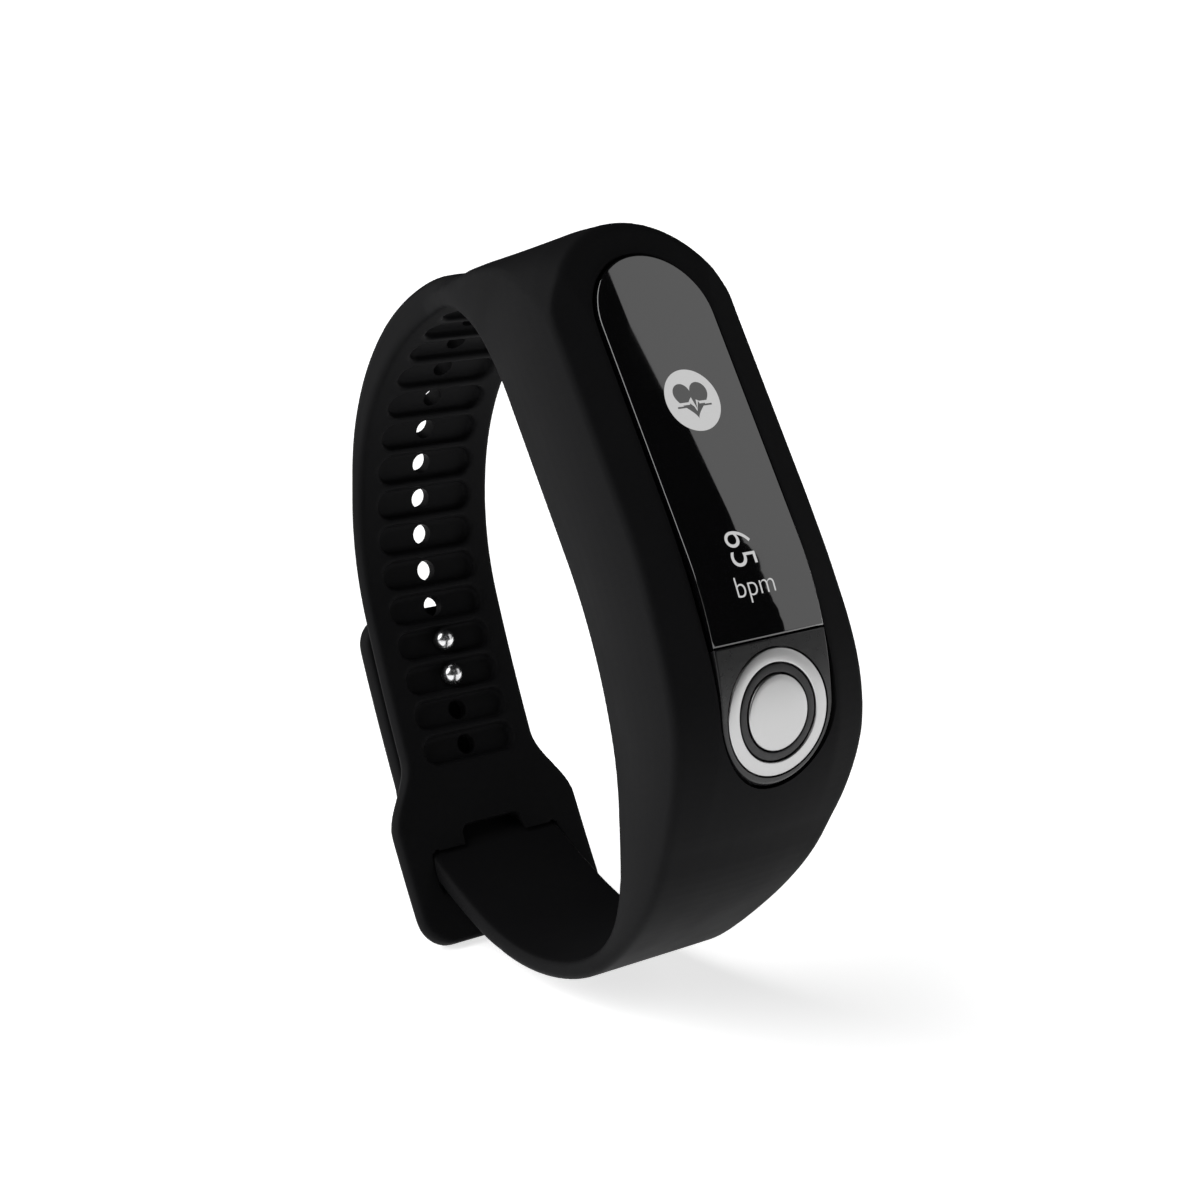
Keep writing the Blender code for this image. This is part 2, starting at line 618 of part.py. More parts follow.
def make_base():
    """The wrist-side cover, with places for the sensor window, electrodes and screws."""
    base = pod_slab("pod_base_cover", 0.95 * MM, back_height, 1.4 * MM, back_height, 0.0, DARK_PLASTIC)
    sensor = back_frame("sensor_frame", SENSOR_PLACE)
    cut(base, add_object("sensor_opening", disc_shape(3.9 * MM, -3.0 * MM, 4.0 * MM, segments=32), sensor))
    add_object("sensor_window", disc_shape(3.6 * MM, -0.1 * MM, 0.9 * MM, segments=32), sensor, GLASS)
    for name, place, length, width in ELECTRODES:
        frame = back_frame(name + "_frame", place)
        pit = rounded_box((length + 2 * GAP, width + 2 * GAP, 3.0 * MM), (0.0, 0.0, -0.6 * MM), 1.0 * MM)
        cut(base, add_object(name + "_pit", pit, frame))
        plate = rounded_box((length, width, 0.6 * MM), (0.0, 0.0, 0.3 * MM), 0.8 * MM)
        add_object(name, plate, frame, STEEL)
    for index, (x, a) in enumerate(SCREW_PLACES):
        head_floor = back_height(a) + 0.85 * MM
        cut(base, screw_hole(index, x, a, 1.3 * MM, -30.0 * MM, head_floor),
            screw_hole(index, x, a, 0.85 * MM, -30.0 * MM, 0.0))
        frame = frame_empty(f"screw_frame_{index}", POD, (x, a, head_floor - GAP), 0.0)
        profile = [(0.0, 3.9 * MM), (0.5 * MM, 3.9 * MM), (0.5 * MM, 0.0), (1.0 * MM, 0.0),
                   (1.0 * MM, -0.5 * MM), (0.4 * MM, -0.5 * MM), (0.4 * MM, -0.25 * MM), (0.0, -0.25 * MM)]
        turned(f"pod_screw_{index + 1}", profile, frame, STEEL, segments=12)
    return base


def back_frame(name, along):
    """A frame on the pod's wrist side, X across and Z into the pod."""
    tilt = math.asin(max(0.0, BACK_BEND_START - along) / BACK_RADIUS)
    return frame_empty(name, POD, (0.0, along, back_height(along)), tilt)


def make_front():
    """The lens, the button surround and the turned pieces round the button."""
    pod_slab("display_lens", 0.0, face_height, 0.0, face_height, -LENS_THICKNESS, LENS,
             low_end=LENS_LOWER_EDGE)
    surround = pod_slab("button_surround", 0.0, face_height, 0.0, face_height, -2.1 * MM, DARK_PLASTIC,
                        high_end=LENS_LOWER_EDGE - GAP)
    cut(surround, add_object("ring_seat", face_ring(RING_OUTER + 0.2 * MM, 0.0, 1.0 * MM, -1.2 * MM), BUTTON),
        add_object("stem_hole", disc_shape(1.5 * MM, -8.0 * MM, 1.0 * MM, segments=20), BUTTON))
    add_object("electrode_ring", face_ring(RING_OUTER, RING_INNER, 0.0, -0.9 * MM), BUTTON, STEEL)
    add_object("ring_insulator", face_ring(INSULATOR_OUTER, INSULATOR_INNER, 0.0, -0.9 * MM), BUTTON, DARK_PLASTIC)
    button = add_object("button_disc", face_ring(BUTTON_RADIUS, 0.0, 0.05 * MM, -0.55 * MM), BUTTON, STEEL)
    stem = add_object("button_stem", disc_shape(1.0 * MM, -2.6 * MM, -0.3 * MM, segments=20), BUTTON)
    boolean(button, stem, "UNION")


def face_ring(outer, inner, top, low, segments=40):
    """A ring or disc that follows the bent face, in the button frame."""
    def sag(along):
        return math.sqrt(FACE_RADIUS ** 2 - along ** 2) - FACE_RADIUS

    shape = bmesh.new()
    rings = []
    for radius, height in ((outer, low), (outer, top), (inner, top), (inner, low)):
        if radius > 0.0:
            rings.append([shape.verts.new((x, y, sag(y) + height))
                          for x, y in arc((0.0, 0.0), (radius, radius), 0.0, 360.0, segments)[:-1]])
    for first, second in zip(rings, rings[1:]):
        skin(shape, first, second)
    if inner > 0.0:
        skin(shape, rings[-1], rings[0])
    else:
        shape.faces.new(rings[0])
        shape.faces.new(rings[-1])
    bmesh.ops.triangulate(shape, faces=shape.faces)
    return shape


def skin(shape, first, second):
    for i in range(len(first)):
        j = (i + 1) % len(first)
        shape.faces.new((first[i], first[j], second[j], second[i]))


def boxed(name, size, centre, surface, frame=None):
    """A plain box part, sizes and centre in millimetres."""
    shape = box_shape([v * MM for v in size], [v * MM for v in centre])
    return add_object(name, shape, frame or POD, surface)


def make_internals():
    """Everything inside the pod, from the display down to the heart-rate sensor."""
    boxed("display_panel", (8.6, 26.6, 0.9), (0.0, 20.4, 0.85), GLASS)
    tray = boxed("display_bracket", (10.4, 22.4, 0.5), (0.0, 22.6, -0.65), STEEL)
    cut(tray, add_object("bracket_window", box_shape((6.0 * MM, 16.0 * MM, 3.0 * MM),
                                                     (0.0, 22.6 * MM, -0.65 * MM)), POD))
    flex = [(34.0, 1.0), (37.0, 1.0), (37.0, -1.9), (36.7, -1.9), (36.7, 0.7), (34.0, 0.7)]
    add_object("display_flex", prism([(a * MM, b * MM) for a, b in flex], -2.4 * MM, 2.4 * MM, across=True),
               POD, COPPER)
    boxed("main_board", (10.6, 29.4, 0.8), (0.0, 21.6, -1.6), BOARD)
    boxed("processor_chip", (5.0, 5.0, 0.8), (0.0, 22.0, -2.7), CHIP)
    boxed("radio_chip", (3.4, 3.4, 0.7), (-2.6, 29.0, -2.65), CHIP)
    boxed("memory_chip", (3.0, 4.0, 0.7), (2.6, 29.2, -2.65), CHIP)
    boxed("battery", (9.6, 13.6, 3.8), (0.0, 24.2, -5.4), CELL)
    boxed("usb_receptacle", (7.4, 5.2, 2.5), (0.0, 38.7, -3.5), STEEL)
    motor = disc_shape(3.8 * MM, -5.2 * MM, -2.5 * MM, (0.0, 12.4 * MM), 28)
    add_object("vibration_motor", motor, POD, STEEL)
    boxed("sensor_board", (9.0, 8.4, 0.6), (0.0, 12.0, -7.4), BOARD)
    boxed("sensor_led_left", (1.4, 1.4, 0.6), (-2.1, 12.0, -8.3), GLASS)
    boxed("sensor_led_right", (1.4, 1.4, 0.6), (2.1, 12.0, -8.3), GLASS)
    boxed("sensor_photodiode", (1.8, 1.8, 0.6), (0.0, 12.0, -8.3), CHIP)
    boxed("button_switch", (3.4, 3.4, 1.2), (0.0, 0.0, -3.95), CHIP, BUTTON)
    boxed("button_board", (6.6, 6.2, 0.6), (0.0, 0.0, -5.15), BOARD, BUTTON)


make_strap()
make_thread()
tail = make_tail()
cut(tail, *make_clasp())
make_housing()
make_base()
make_front()
make_internals()
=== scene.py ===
"""Activity tracker band on a pale studio floor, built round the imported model.

The rubber band, the pod's front, the studs and the clasp plate are rebuilt with fine surfaces.
The other CAD nodes stay and get bevels and procedural materials.

  band frame    X across the band, Y away from the wearer's view, Z up, origin at the button
  pod frame     X across, Y up along the display, Z out of the display
  button frame  X across, Y up along the button, Z out of the button
"""
import math

import bmesh
import bpy
from mathutils import Matrix, Vector


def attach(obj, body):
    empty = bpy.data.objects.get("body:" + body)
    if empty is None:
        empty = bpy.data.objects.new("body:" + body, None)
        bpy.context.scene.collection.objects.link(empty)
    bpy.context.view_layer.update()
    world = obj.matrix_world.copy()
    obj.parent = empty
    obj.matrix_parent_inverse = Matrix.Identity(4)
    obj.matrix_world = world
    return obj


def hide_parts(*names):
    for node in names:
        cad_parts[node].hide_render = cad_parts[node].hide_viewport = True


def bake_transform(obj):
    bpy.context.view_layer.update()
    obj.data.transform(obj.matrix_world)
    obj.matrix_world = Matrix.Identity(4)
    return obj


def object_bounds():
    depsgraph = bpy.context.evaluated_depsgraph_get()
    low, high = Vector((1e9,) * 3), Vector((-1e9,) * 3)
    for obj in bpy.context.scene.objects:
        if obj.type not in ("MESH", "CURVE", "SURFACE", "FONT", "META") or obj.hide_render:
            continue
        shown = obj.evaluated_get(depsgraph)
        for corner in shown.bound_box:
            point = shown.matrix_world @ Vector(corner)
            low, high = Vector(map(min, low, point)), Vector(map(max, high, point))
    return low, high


MM = 0.001

# ---- dimensions, as in the model ----
LENS_HALF_WIDTH = 6.1 * MM
LENS_TOP = 41.0 * MM  # top of the lens above the button centre, along the display
LENS_THICKNESS = 1.0 * MM
LENS_LOWER_EDGE = 6.0 * MM  # where the lens stops and the button surround starts
LENS_ROUND_TOP = LENS_TOP - LENS_HALF_WIDTH
SURROUND_CENTRE = 0.29 * MM  # below this the surround's outline is half an ellipse
SURROUND_RADIUS = 5.36 * MM
SURROUND_THICKNESS = 2.1 * MM
SURROUND_JOINT = 0.12 * MM  # open joint between the lens and the surround
FLAT_HEIGHT = 3.4 * MM
FLAT_START = 14.0 * MM
FACE_RADIUS = 30.0 * MM
DISPLAY_TILT = math.radians(57.0)
BUTTON_TILT = math.asin(FLAT_START / FACE_RADIUS)

RING_OUTER = 5.45 * MM
RING_INNER = 4.25 * MM
INSULATOR_OUTER = 4.1 * MM
INSULATOR_INNER = 3.4 * MM
BUTTON_RADIUS = 3.25 * MM
RING_CLEARANCE = 0.14 * MM
RING_SEAT_FLOOR = -1.4 * MM  # the ring's seat in the surround, below the face
RING_SEGMENTS = 128

FRAME_HALF_WIDTH = 10.1 * MM
BUTTON_FLARE = 0.45 * MM  # extra half width of the frame beside the button
WRIST_HALF_WIDTH = 8.7 * MM  # the frame's sides lean in to this on the wrist side
RIM_CROWN = 0.8 * MM  # rise of the frame's front from its outer edge to the lens
LONG_STRAP_HALF_WIDTH = 7.7 * MM
SHORT_STRAP_HALF_WIDTH = 7.75 * MM
TAIL_HALF_WIDTH = 7.2 * MM
PADDLE_HALF_WIDTH = 10.8 * MM
STRAP_THICKNESS = 1.75 * MM
STRAP_CORNER = 0.7 * MM  # corner radius on the outside of the strap
STRAP_SOFT = 0.45 * MM  # corner radius on the wrist side of the strap
FRAME_SOFT = 0.35 * MM
STRAP_LEAN = 0.1 * MM  # how much narrower the strap is on the wrist side
STRAP_FLAT = 0.3 * MM  # from the corner in to the level part of the strap's front
SIDE_BOW = 0.4 * MM  # how far the thick frame's sides bulge
SIDE_STEPS = 8
CORNER_GROWTH = 0.1 * MM  # growth of the corner radius from the frame to the strap
RIM_REACH = 0.6 * MM  # the rim's level part ends this far outside the lens
RIM_CLEAR = 0.2 * MM
RIM_SHARES = (1.0, 0.7, 0.4, 0.1)  # points across the level part of a section's front
TIP_CORNER = 3.0 * MM
TIP_MARKS = (0.0, 0.02, 0.07, 0.15, 0.25, 0.4, 0.55, 0.75)  # stations on a rounded tip, as shares of it
BACK_START = Vector((18.7, 11.7)) * MM  # (Y, Z) on the wrist side, level with the display's middle

LADDER_COUNT = 16
LADDER_PITCH = 3.54 * MM
LADDER_FIRST = 81.2 * MM
RECESS_HALF_LENGTH = 5.4 * MM
RECESS_HALF_HEIGHT = 1.4 * MM
RECESS_DEPTH = 0.8 * MM
HOLE_RADIUS = 1.0 * MM
CUTTER_START = 1.5 * MM  # the ladder's cutters start this far inside the loop
HOLE_CUTTER_END = 5.5 * MM
STUD_RUNGS = (2, 3)
STUD_HEAD = 1.06 * MM
STUD_NECK = 0.65 * MM
STUD_CENTRE = 0.2 * MM  # centre of the ball head, outwards from the strap's wrist side
STUD_NECK_START = 1.1 * MM
PLATE_WIDTH = 10.0 * MM
PLATE_HEIGHT = 9.0 * MM
PLATE_CORNER = 1.7 * MM
PLATE_THICKNESS = 0.8 * MM
PLATE_BEVEL = 0.2 * MM
CLASP_FLOOR = STRAP_THICKNESS + 2.3 * MM

SLOT_HALF_WIDTH = 7.6 * MM
SLOT_START = -0.15 * MM
SLOT_END = 7.0 * MM
SLOT_CLEARANCE = 0.45 * MM
SLOT_CORNER = 0.5 * MM
NOTCH_HALF_WIDTH = 3.5 * MM
NOTCH_START = 88.95 * MM
NOTCH_END = 92.95 * MM
NOTCH_CORNER = 0.9 * MM
NOTCH_DEPTHS = (-1.1 * MM, 2.9 * MM)
GAP = 0.3 * MM
GROOVE = 0.18 * MM  # open groove between the lens and the rubber rim
RIM_CHAMFER = 0.16 * MM  # width of the chamfer round the opening
CHAMFER_DEPTH = 0.22 * MM
CHAMFER_TOP = 0.05 * MM  # the chamfer's cutter goes on this far above the rim
OPENING_FLOOR = 24.0 * MM
RIM_DROP = 0.34 * MM  # the rim lies this far below the lens
FRAME_TOP = 44.65 * MM  # top of the crease round the frame, along the display
POCKET_MARGIN = 1.35 * MM  # the pod's body is this much wider than the lens all round
POCKET_ROOF = 2.3 * MM  # thickness of the rim over the pod's body
POCKET_ENDS = (-12.0 * MM, 48.0 * MM)
POCKET_HALF_WIDTH = 12.0 * MM
FAR_BELOW = 30.0 * MM  # cutters reach this far past the rubber on the wrist side
FAR_ABOVE = 8.0 * MM  # and this far past it in front

BAND_CENTRE_Y = 27.86 * MM
GROUND = -30.772 * MM

# The strap's wrist side is a chain of arcs: (turn in degrees, length).
LONG_RUN = ((0.0, 14.6 * MM), (-9.0, 5.0 * MM), (-68.4, 9.55 * MM), (-60.0, 23.3 * MM),
            (-30.5, 14.4 * MM), (-9.9, 33.0 * MM))
SHORT_RUN = ((0.0, 1.0 * MM), (29.2, 25.3 * MM), (73.5, 18.07 * MM), (40.3, 14.07 * MM),
             (4.5, 5.0 * MM))
THREAD_RUN = ((1.5, 1.5 * MM), (0.0, 3.3 * MM))
TAIL_RUN = ((37.0, 5.2 * MM), (5.2, 18.5 * MM))


def in_mm(pairs):
    return tuple((place * MM, size * MM) for place, size in pairs)


# Depths along each run as (distance from BACK_START, depth).
LONG_DEPTH = in_mm(((0.0, 11.55), (14.6, 11.55), (19.6, 12.4), (20.8, 12.9), (21.2, 11.5), (22.1, 8.0),
                    (23.4, 5.7), (24.3, 4.6), (25.0, 3.8), (26.0, 3.15), (27.5, 2.9), (31.0, 3.0),
                    (36.0, 3.05), (42.0, 2.8), (48.0, 2.35))) + ((56.0 * MM, STRAP_THICKNESS),)
SHORT_DEPTH = in_mm(((0.0, 10.95), (6.1, 11.0), (11.1, 11.1), (16.2, 10.6), (21.2, 8.7), (26.3, 6.1),
                     (29.9, 3.9), (33.5, 2.5))) + ((37.5 * MM, STRAP_THICKNESS),)
CREASE_DEPTH = LONG_DEPTH[3:10]  # the crease round the frame's top end follows these

# Where the sections change, as (start, end) distances along a run.
LONG_NARROWING = (15.0 * MM, 32.0 * MM)
SHORT_NARROWING = (18.0 * MM, 40.0 * MM)
PADDLE_WIDENING = (81.5 * MM, 88.5 * MM)
CREASE_TRIM = (18.5 * MM, 21.2 * MM)
CREASE_END = (22.5 * MM, 25.0 * MM)
FLARE_GROWTH = (2.0 * MM, 14.0 * MM)
LOWER_GROWTH = (8.0 * MM, 20.0 * MM)
LOWER_ROUNDING = (14.0 * MM, 26.0 * MM)
TAIL_NARROWING = (2.5 * MM, 7.0 * MM)
TAIL_GROWTH = (0.0, 6.0 * MM)

CREASE_EXCESS = 2.2 * MM  # left on the frame for the crease to trim
UNDER_STRAP = 0.05 * MM  # the frame's end lies this far under the long strap's surface
FRAME_END = 31.0 * MM
STRAP_START = 17.0 * MM  # the long strap starts inside the frame's wall
THICKEST_STRAP = 3.1 * MM
LOWER_EXCESS = 0.6 * MM  # the frame's lower end is deeper than SHORT_DEPTH says, by these two
LOWER_BELLY = 0.8 * MM
SHORT_BLUR = 3.0 * MM  # SHORT_DEPTH is averaged over this reach to either side
TAIL_EXTRA = 0.25 * MM  # the tail is this much thicker than the strap

# The crease core's rounded rim: (share of the rise from the crease, inset from the side).
CREASE_ROUNDING = ((0.35, 0.12 * MM), (0.62, 0.45 * MM), (0.82, 0.95 * MM))
CREASE_INNER = 0.2 * MM  # the rounding ends this far outside the lens
SKIRT_SPREAD = 4.0 * MM
SKIRT_SQUARING = 2.5  # the skirt's outline turns from a half circle to a rounded square
SKIRT_REACH = 7.0 * MM  # over this height below the crease
CORE_FOOT = 60.0 * MM  # the core runs down the display to here, past the band's lower end

FRAME_STEP = 0.6 * MM  # spacing of the stations along each run
STRAP_STEP = 0.8 * MM
FOLD_STEP = 0.7 * MM
TAIL_STEP = 0.5 * MM
VOXEL = 0.24 * MM  # fineness of the moulded rubber surface
SOFTENING_PASSES = 4

# The fold starts inside the short strap and comes out through its skin.
OVERLAP_START = 52.4 * MM
OVERLAP_END = 57.5 * MM
UNDER_SKIN = -0.06 * MM
OVER_SKIN = 0.03 * MM


LONG_END, SHORT_END, THREAD_END, TAIL_END = (
    sum(length for turn, length in run) for run in (LONG_RUN, SHORT_RUN, THREAD_RUN, TAIL_RUN))

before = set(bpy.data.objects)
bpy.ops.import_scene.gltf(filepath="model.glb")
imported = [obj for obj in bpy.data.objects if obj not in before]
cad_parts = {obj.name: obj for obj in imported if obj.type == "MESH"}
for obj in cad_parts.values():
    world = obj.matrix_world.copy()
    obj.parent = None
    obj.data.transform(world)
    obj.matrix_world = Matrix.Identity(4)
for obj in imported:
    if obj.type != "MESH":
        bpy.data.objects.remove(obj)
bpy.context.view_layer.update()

BAND = Matrix.Translation((0.0, -BAND_CENTRE_Y, -GROUND))
POD = BAND @ Matrix.Rotation(DISPLAY_TILT, 4, "X")
IDENTITY = Matrix.Identity(4)


# ---- materials ----
class Nodes:
    """Adds nodes to one material and links them in a line or two."""

    def __init__(self, name, colour, roughness, metallic=0.0):
        self.material = bpy.data.materials.new(name)
        self.material.use_nodes = True
        self.tree = self.material.node_tree
        self.shader = self.tree.nodes["Principled BSDF"]
        self.set("Base Color", (*colour, 1.0))
        self.set("Roughness", roughness)
        self.set("Metallic", metallic)
        coordinates = self.tree.nodes.new("ShaderNodeTexCoord")
        self.place = coordinates.outputs["Object"]

    def set(self, socket, value):
        self.shader.inputs[socket].default_value = value

    def link(self, output, target):
        self.tree.links.new(output, target)

    def add(self, kind, **inputs):
        """A new node with some of its inputs set."""
        made = self.tree.nodes.new(kind)
        for socket, value in inputs.items():
            made.inputs[socket].default_value = value
        return made

    def stretched(self, scale):
        """Object coordinates stretched by scale."""
        mapping = self.add("ShaderNodeMapping", Scale=scale)
        self.link(self.place, mapping.inputs["Vector"])
        return mapping.outputs["Vector"]

    def noise(self, size, detail=2.0, place=None):
        """Noise with features of about the given size in metres."""
        texture = self.add("ShaderNodeTexNoise", Scale=1.0 / size, Detail=detail)
        self.link(place or self.place, texture.inputs["Vector"])
        return texture.outputs["Fac"]

    def tint(self, value, dark, light):
        """A colour between dark and light."""
        ramp = self.tree.nodes.new("ShaderNodeValToRGB")
        ramp.color_ramp.elements[0].color = (*dark, 1.0)
        ramp.color_ramp.elements[1].color = (*light, 1.0)
        self.link(value, ramp.inputs["Fac"])
        self.link(ramp.outputs["Color"], self.shader.inputs["Base Color"])

    def glow(self, strength):
        self.set("Emission Color", (1.0, 1.0, 1.0, 1.0))
        self.set("Emission Strength", strength)

    def rough(self, value, low, high):
        """Roughness from low to high as a noise goes from 0.3 to 0.7."""
        ends = {"From Min": 0.3, "From Max": 0.7, "To Min": low, "To Max": high}
        step = self.add("ShaderNodeMapRange", **ends)
        self.link(value, step.inputs["Value"])
        self.link(step.outputs["Result"], self.shader.inputs["Roughness"])

    def bump(self, value, height, strength=1.0):
        """Raise the surface by a value, on top of any bump that is there already."""
        made = self.add("ShaderNodeBump", Strength=strength, Distance=height)
        self.link(value, made.inputs["Height"])
        normal = self.shader.inputs["Normal"]
        if normal.is_linked:
            self.link(normal.links[0].from_socket, made.inputs["Normal"])
        self.link(made.outputs["Normal"], normal)


def shade(colour, factor):
    return tuple(channel * factor for channel in colour)


def rubber_material():
    """Matt black silicone: fine moulded grain, faint handling polish and a little surface dust."""
    made = Nodes("black_silicone", (0.008, 0.008, 0.0085), 0.5)
    patches = made.noise(9.0 * MM, 3.0)
    made.tint(patches, (0.0065, 0.0065, 0.007), (0.0095, 0.0095, 0.01))
    made.rough(patches, 0.46, 0.56)
    made.bump(made.noise(0.16 * MM, 2.0), 0.012 * MM, 0.5)
    made.bump(made.noise(1.6 * MM, 2.0), 0.01 * MM, 0.3)
    made.set("Specular IOR Level", 0.025)
    return made.material


def glass_material():
    """Polished black cover glass with the faintest smear of use."""
    made = Nodes("black_cover_glass", (0.0015, 0.0015, 0.0018), 0.04)
    made.rough(made.noise(5.0 * MM, 4.0), 0.004, 0.02)
    made.bump(made.noise(14.0 * MM, 1.0), 0.002 * MM, 0.2)
    made.set("Specular IOR Level", 0.9)
    made.set("Coat Weight", 0.9)
    made.set("Coat Roughness", 0.01)
    return made.material


def satin_plastic_material(name, colour, low, high):
    """Moulded plastic with a spark-eroded grain."""
    made = Nodes(name, colour, (low + high) / 2)
    made.tint(made.noise(2.5 * MM, 3.0), shade(colour, 0.85), shade(colour, 1.2))
    made.rough(made.noise(0.5 * MM, 2.0), low, high)
    made.bump(made.noise(0.12 * MM, 2.0), 0.008 * MM, 0.4)
    return made.material


def brushed_material(name, colour, low, high, grain):
    """Metal with fine parallel brushing; grain is the stretch of the brushing along each axis."""
    made = Nodes(name, colour, (low + high) / 2, 1.0)
    lines = made.noise(0.5 * MM, 3.0, made.stretched(grain))
    made.tint(lines, shade(colour, 0.97), shade(colour, 1.02))
    made.rough(lines, low, high)
    made.bump(lines, 0.002 * MM, 0.08)
    return made.material


def polished_material():
    made = Nodes("polished_steel", (0.78, 0.78, 0.79), 0.12, 1.0)
    made.rough(made.noise(0.6 * MM, 3.0), 0.2, 0.28)
    made.bump(made.noise(0.5 * MM, 2.0), 0.002 * MM, 0.05)
    return made.material


def board_material():
    """Green solder mask with copper tracks showing through as a slight relief."""
    made = Nodes("circuit_board", (0.012, 0.09, 0.045), 0.4)
    tracks = made.add("ShaderNodeTexVoronoi", Scale=1.0 / (1.1 * MM))
    tracks.distance = "CHEBYCHEV"
    made.link(made.place, tracks.inputs["Vector"])
    made.tint(tracks.outputs["Distance"], (0.03, 0.15, 0.06), (0.008, 0.07, 0.035))
    made.rough(made.noise(0.8 * MM), 0.3, 0.5)
    made.bump(tracks.outputs["Distance"], 0.03 * MM, 0.5)
    return made.material


def foil_material():
    """The battery's crimped foil pouch."""
    made = Nodes("battery_foil", (0.5, 0.51, 0.53), 0.35, 0.9)
    creases = made.noise(2.2 * MM, 5.0)
    made.tint(creases, (0.40, 0.41, 0.43), (0.56, 0.57, 0.59))
    made.rough(creases, 0.25, 0.45)
    made.bump(creases, 0.12 * MM, 0.4)
    return made.material


def flex_material():
    """Amber film with fine copper lines."""
    made = Nodes("flex_film", (0.45, 0.21, 0.05), 0.35)
    lines = made.add("ShaderNodeTexWave", Scale=1.0 / (4.0 * MM), Distortion=0.0)
    made.link(made.place, lines.inputs["Vector"])
    made.tint(lines.outputs["Fac"], (0.32, 0.13, 0.03), (0.62, 0.30, 0.08))
    made.rough(made.noise(0.7 * MM), 0.25, 0.45)
    made.bump(lines.outputs["Fac"], 0.02 * MM, 0.4)
    return made.material


def glow_material():
    """Lit display elements."""
    made = Nodes("lit_readout", (0.02, 0.02, 0.02), 0.3)
    level = made.noise(0.25 * MM, 1.0)
    made.tint(level, (0.08, 0.08, 0.08), (0.11, 0.11, 0.11))
    made.glow(0.5)
    return made.material


RUBBER = rubber_material()
GLASS = glass_material()
SURROUND = satin_plastic_material("satin_surround", (0.006, 0.006, 0.0065), 0.26, 0.36)
POD_PLASTIC = satin_plastic_material("pod_plastic", (0.03, 0.03, 0.032), 0.38, 0.5)
INSULATOR = satin_plastic_material("insulator_plastic", (0.011, 0.011, 0.012), 0.4, 0.5)
CHIP = satin_plastic_material("chip_epoxy", (0.022, 0.022, 0.024), 0.45, 0.6)
WINDOW = satin_plastic_material("clear_window", (0.02, 0.02, 0.026), 0.04, 0.1)
STEEL = brushed_material("brushed_steel", (0.6, 0.6, 0.6), 0.26, 0.34, (1.0, 14.0, 14.0))
SATIN_STEEL = brushed_material("satin_disc_steel", (0.5, 0.5, 0.5), 0.28, 0.34, (1.0, 10.0, 10.0))
POLISHED = polished_material()
BOARD = board_material()
FOIL = foil_material()
FLEX = flex_material()
GLOW = glow_material()


# ---- mesh helpers ----
def link_object(name, data):
    made = bpy.data.objects.new(name, data)
    bpy.context.scene.collection.objects.link(made)
    return made


def add_object(name, shape, matrix=IDENTITY, surface=None, sharp=35.0):
    """Turn a bmesh into a named object whose vertices are already in the row frame."""
    bmesh.ops.transform(shape, matrix=matrix, verts=shape.verts)
    bmesh.ops.recalc_face_normals(shape, faces=shape.faces)
    mesh = bpy.data.meshes.new(name)
    shape.to_mesh(mesh)
    shape.free()
    made = link_object(name, mesh)
    if surface is not None:
        mesh.materials.append(surface)
    mesh.shade_smooth()
    mesh.set_sharp_from_angle(angle=math.radians(sharp))
    return made


def combine(target, tools, operation):
    """Apply Booleans to target and delete the tools."""
    for tool in tools:
        step = target.modifiers.new("combine", "BOOLEAN")
        step.operation = operation
        step.object = tool
        step.solver = "EXACT"
    apply_modifiers(target)
    for tool in tools:
        bpy.data.objects.remove(tool, do_unlink=True)


def finished_mesh(made):
    bpy.context.view_layer.update()
    graph = bpy.context.evaluated_depsgraph_get()
    return bpy.data.meshes.new_from_object(made.evaluated_get(graph))


def apply_modifiers(made):
    finished = finished_mesh(made)
    made.modifiers.clear()
    made.data = finished


def arc(centre, radii, start, end, steps):
    """Points on an elliptical arc, angles in degrees."""
    points = []
    for i in range(steps + 1):
        angle = math.radians(start + (end - start) * i / steps)
        points.append((centre[0] + radii[0] * math.cos(angle), centre[1] + radii[1] * math.sin(angle)))
    return points


def flat_ring(shape, outline, height):
    return [shape.verts.new((x, y, height)) for x, y in outline]


def skin_rows(shape, rings):
    for first, second in zip(rings, rings[1:]):
        for i in range(len(first)):
            j = (i + 1) % len(first)
            shape.faces.new((first[i], first[j], second[j], second[i]))
    return shape


def close_rings(shape, rings):
    """Skin a row of vertex rings and cap both ends."""
    skin_rows(shape, rings)
    shape.faces.new(rings[0])
    shape.faces.new(rings[-1])
    return shape


def close_loft(shape, rings):
    """Closed rings in flat triangles, which keeps a bent loft's faces exact."""
    close_rings(shape, rings)
    bmesh.ops.triangulate(shape, faces=shape.faces)


def prism(outline, low, high):
    """A flat outline extruded along Z."""
    shape = bmesh.new()
    return close_rings(shape, [flat_ring(shape, outline, height) for height in (low, high)])


def rounded_outline(width, height, radius, steps=6):
    points = []
    for side_x, side_y, start in ((1, 1, 0.0), (-1, 1, 90.0), (-1, -1, 180.0), (1, -1, 270.0)):
        centre = (side_x * (width / 2 - radius), side_y * (height / 2 - radius))
        points += arc(centre, (radius, radius), start, start + 90.0, steps)
    return points


def circle(radius, segments, centre=(0.0, 0.0)):
    return arc(centre, (radius, radius), 0.0, 360.0, segments)[:-1]


def bevelled(made, width, segments=3):
    step = made.modifiers.new("soft_edges", "BEVEL")
    step.width = width
    step.segments = segments
    step.limit_method = "ANGLE"
    step.angle_limit = math.radians(40.0)
    step.harden_normals = True


def place_piece(made, body, slot, *nodes):
    """A finished piece rides on its body and hides the CAD nodes it stands for; slot is not used."""
    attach(made, body)
    if nodes:
        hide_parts(*nodes)


# ---- strap path ----
def smooth(start, end, value):
    """0 before start, 1 after end, eased between."""
    t = min(1.0, max(0.0, (value - start) / (end - start)))
    return t * t * (3.0 - 2.0 * t)


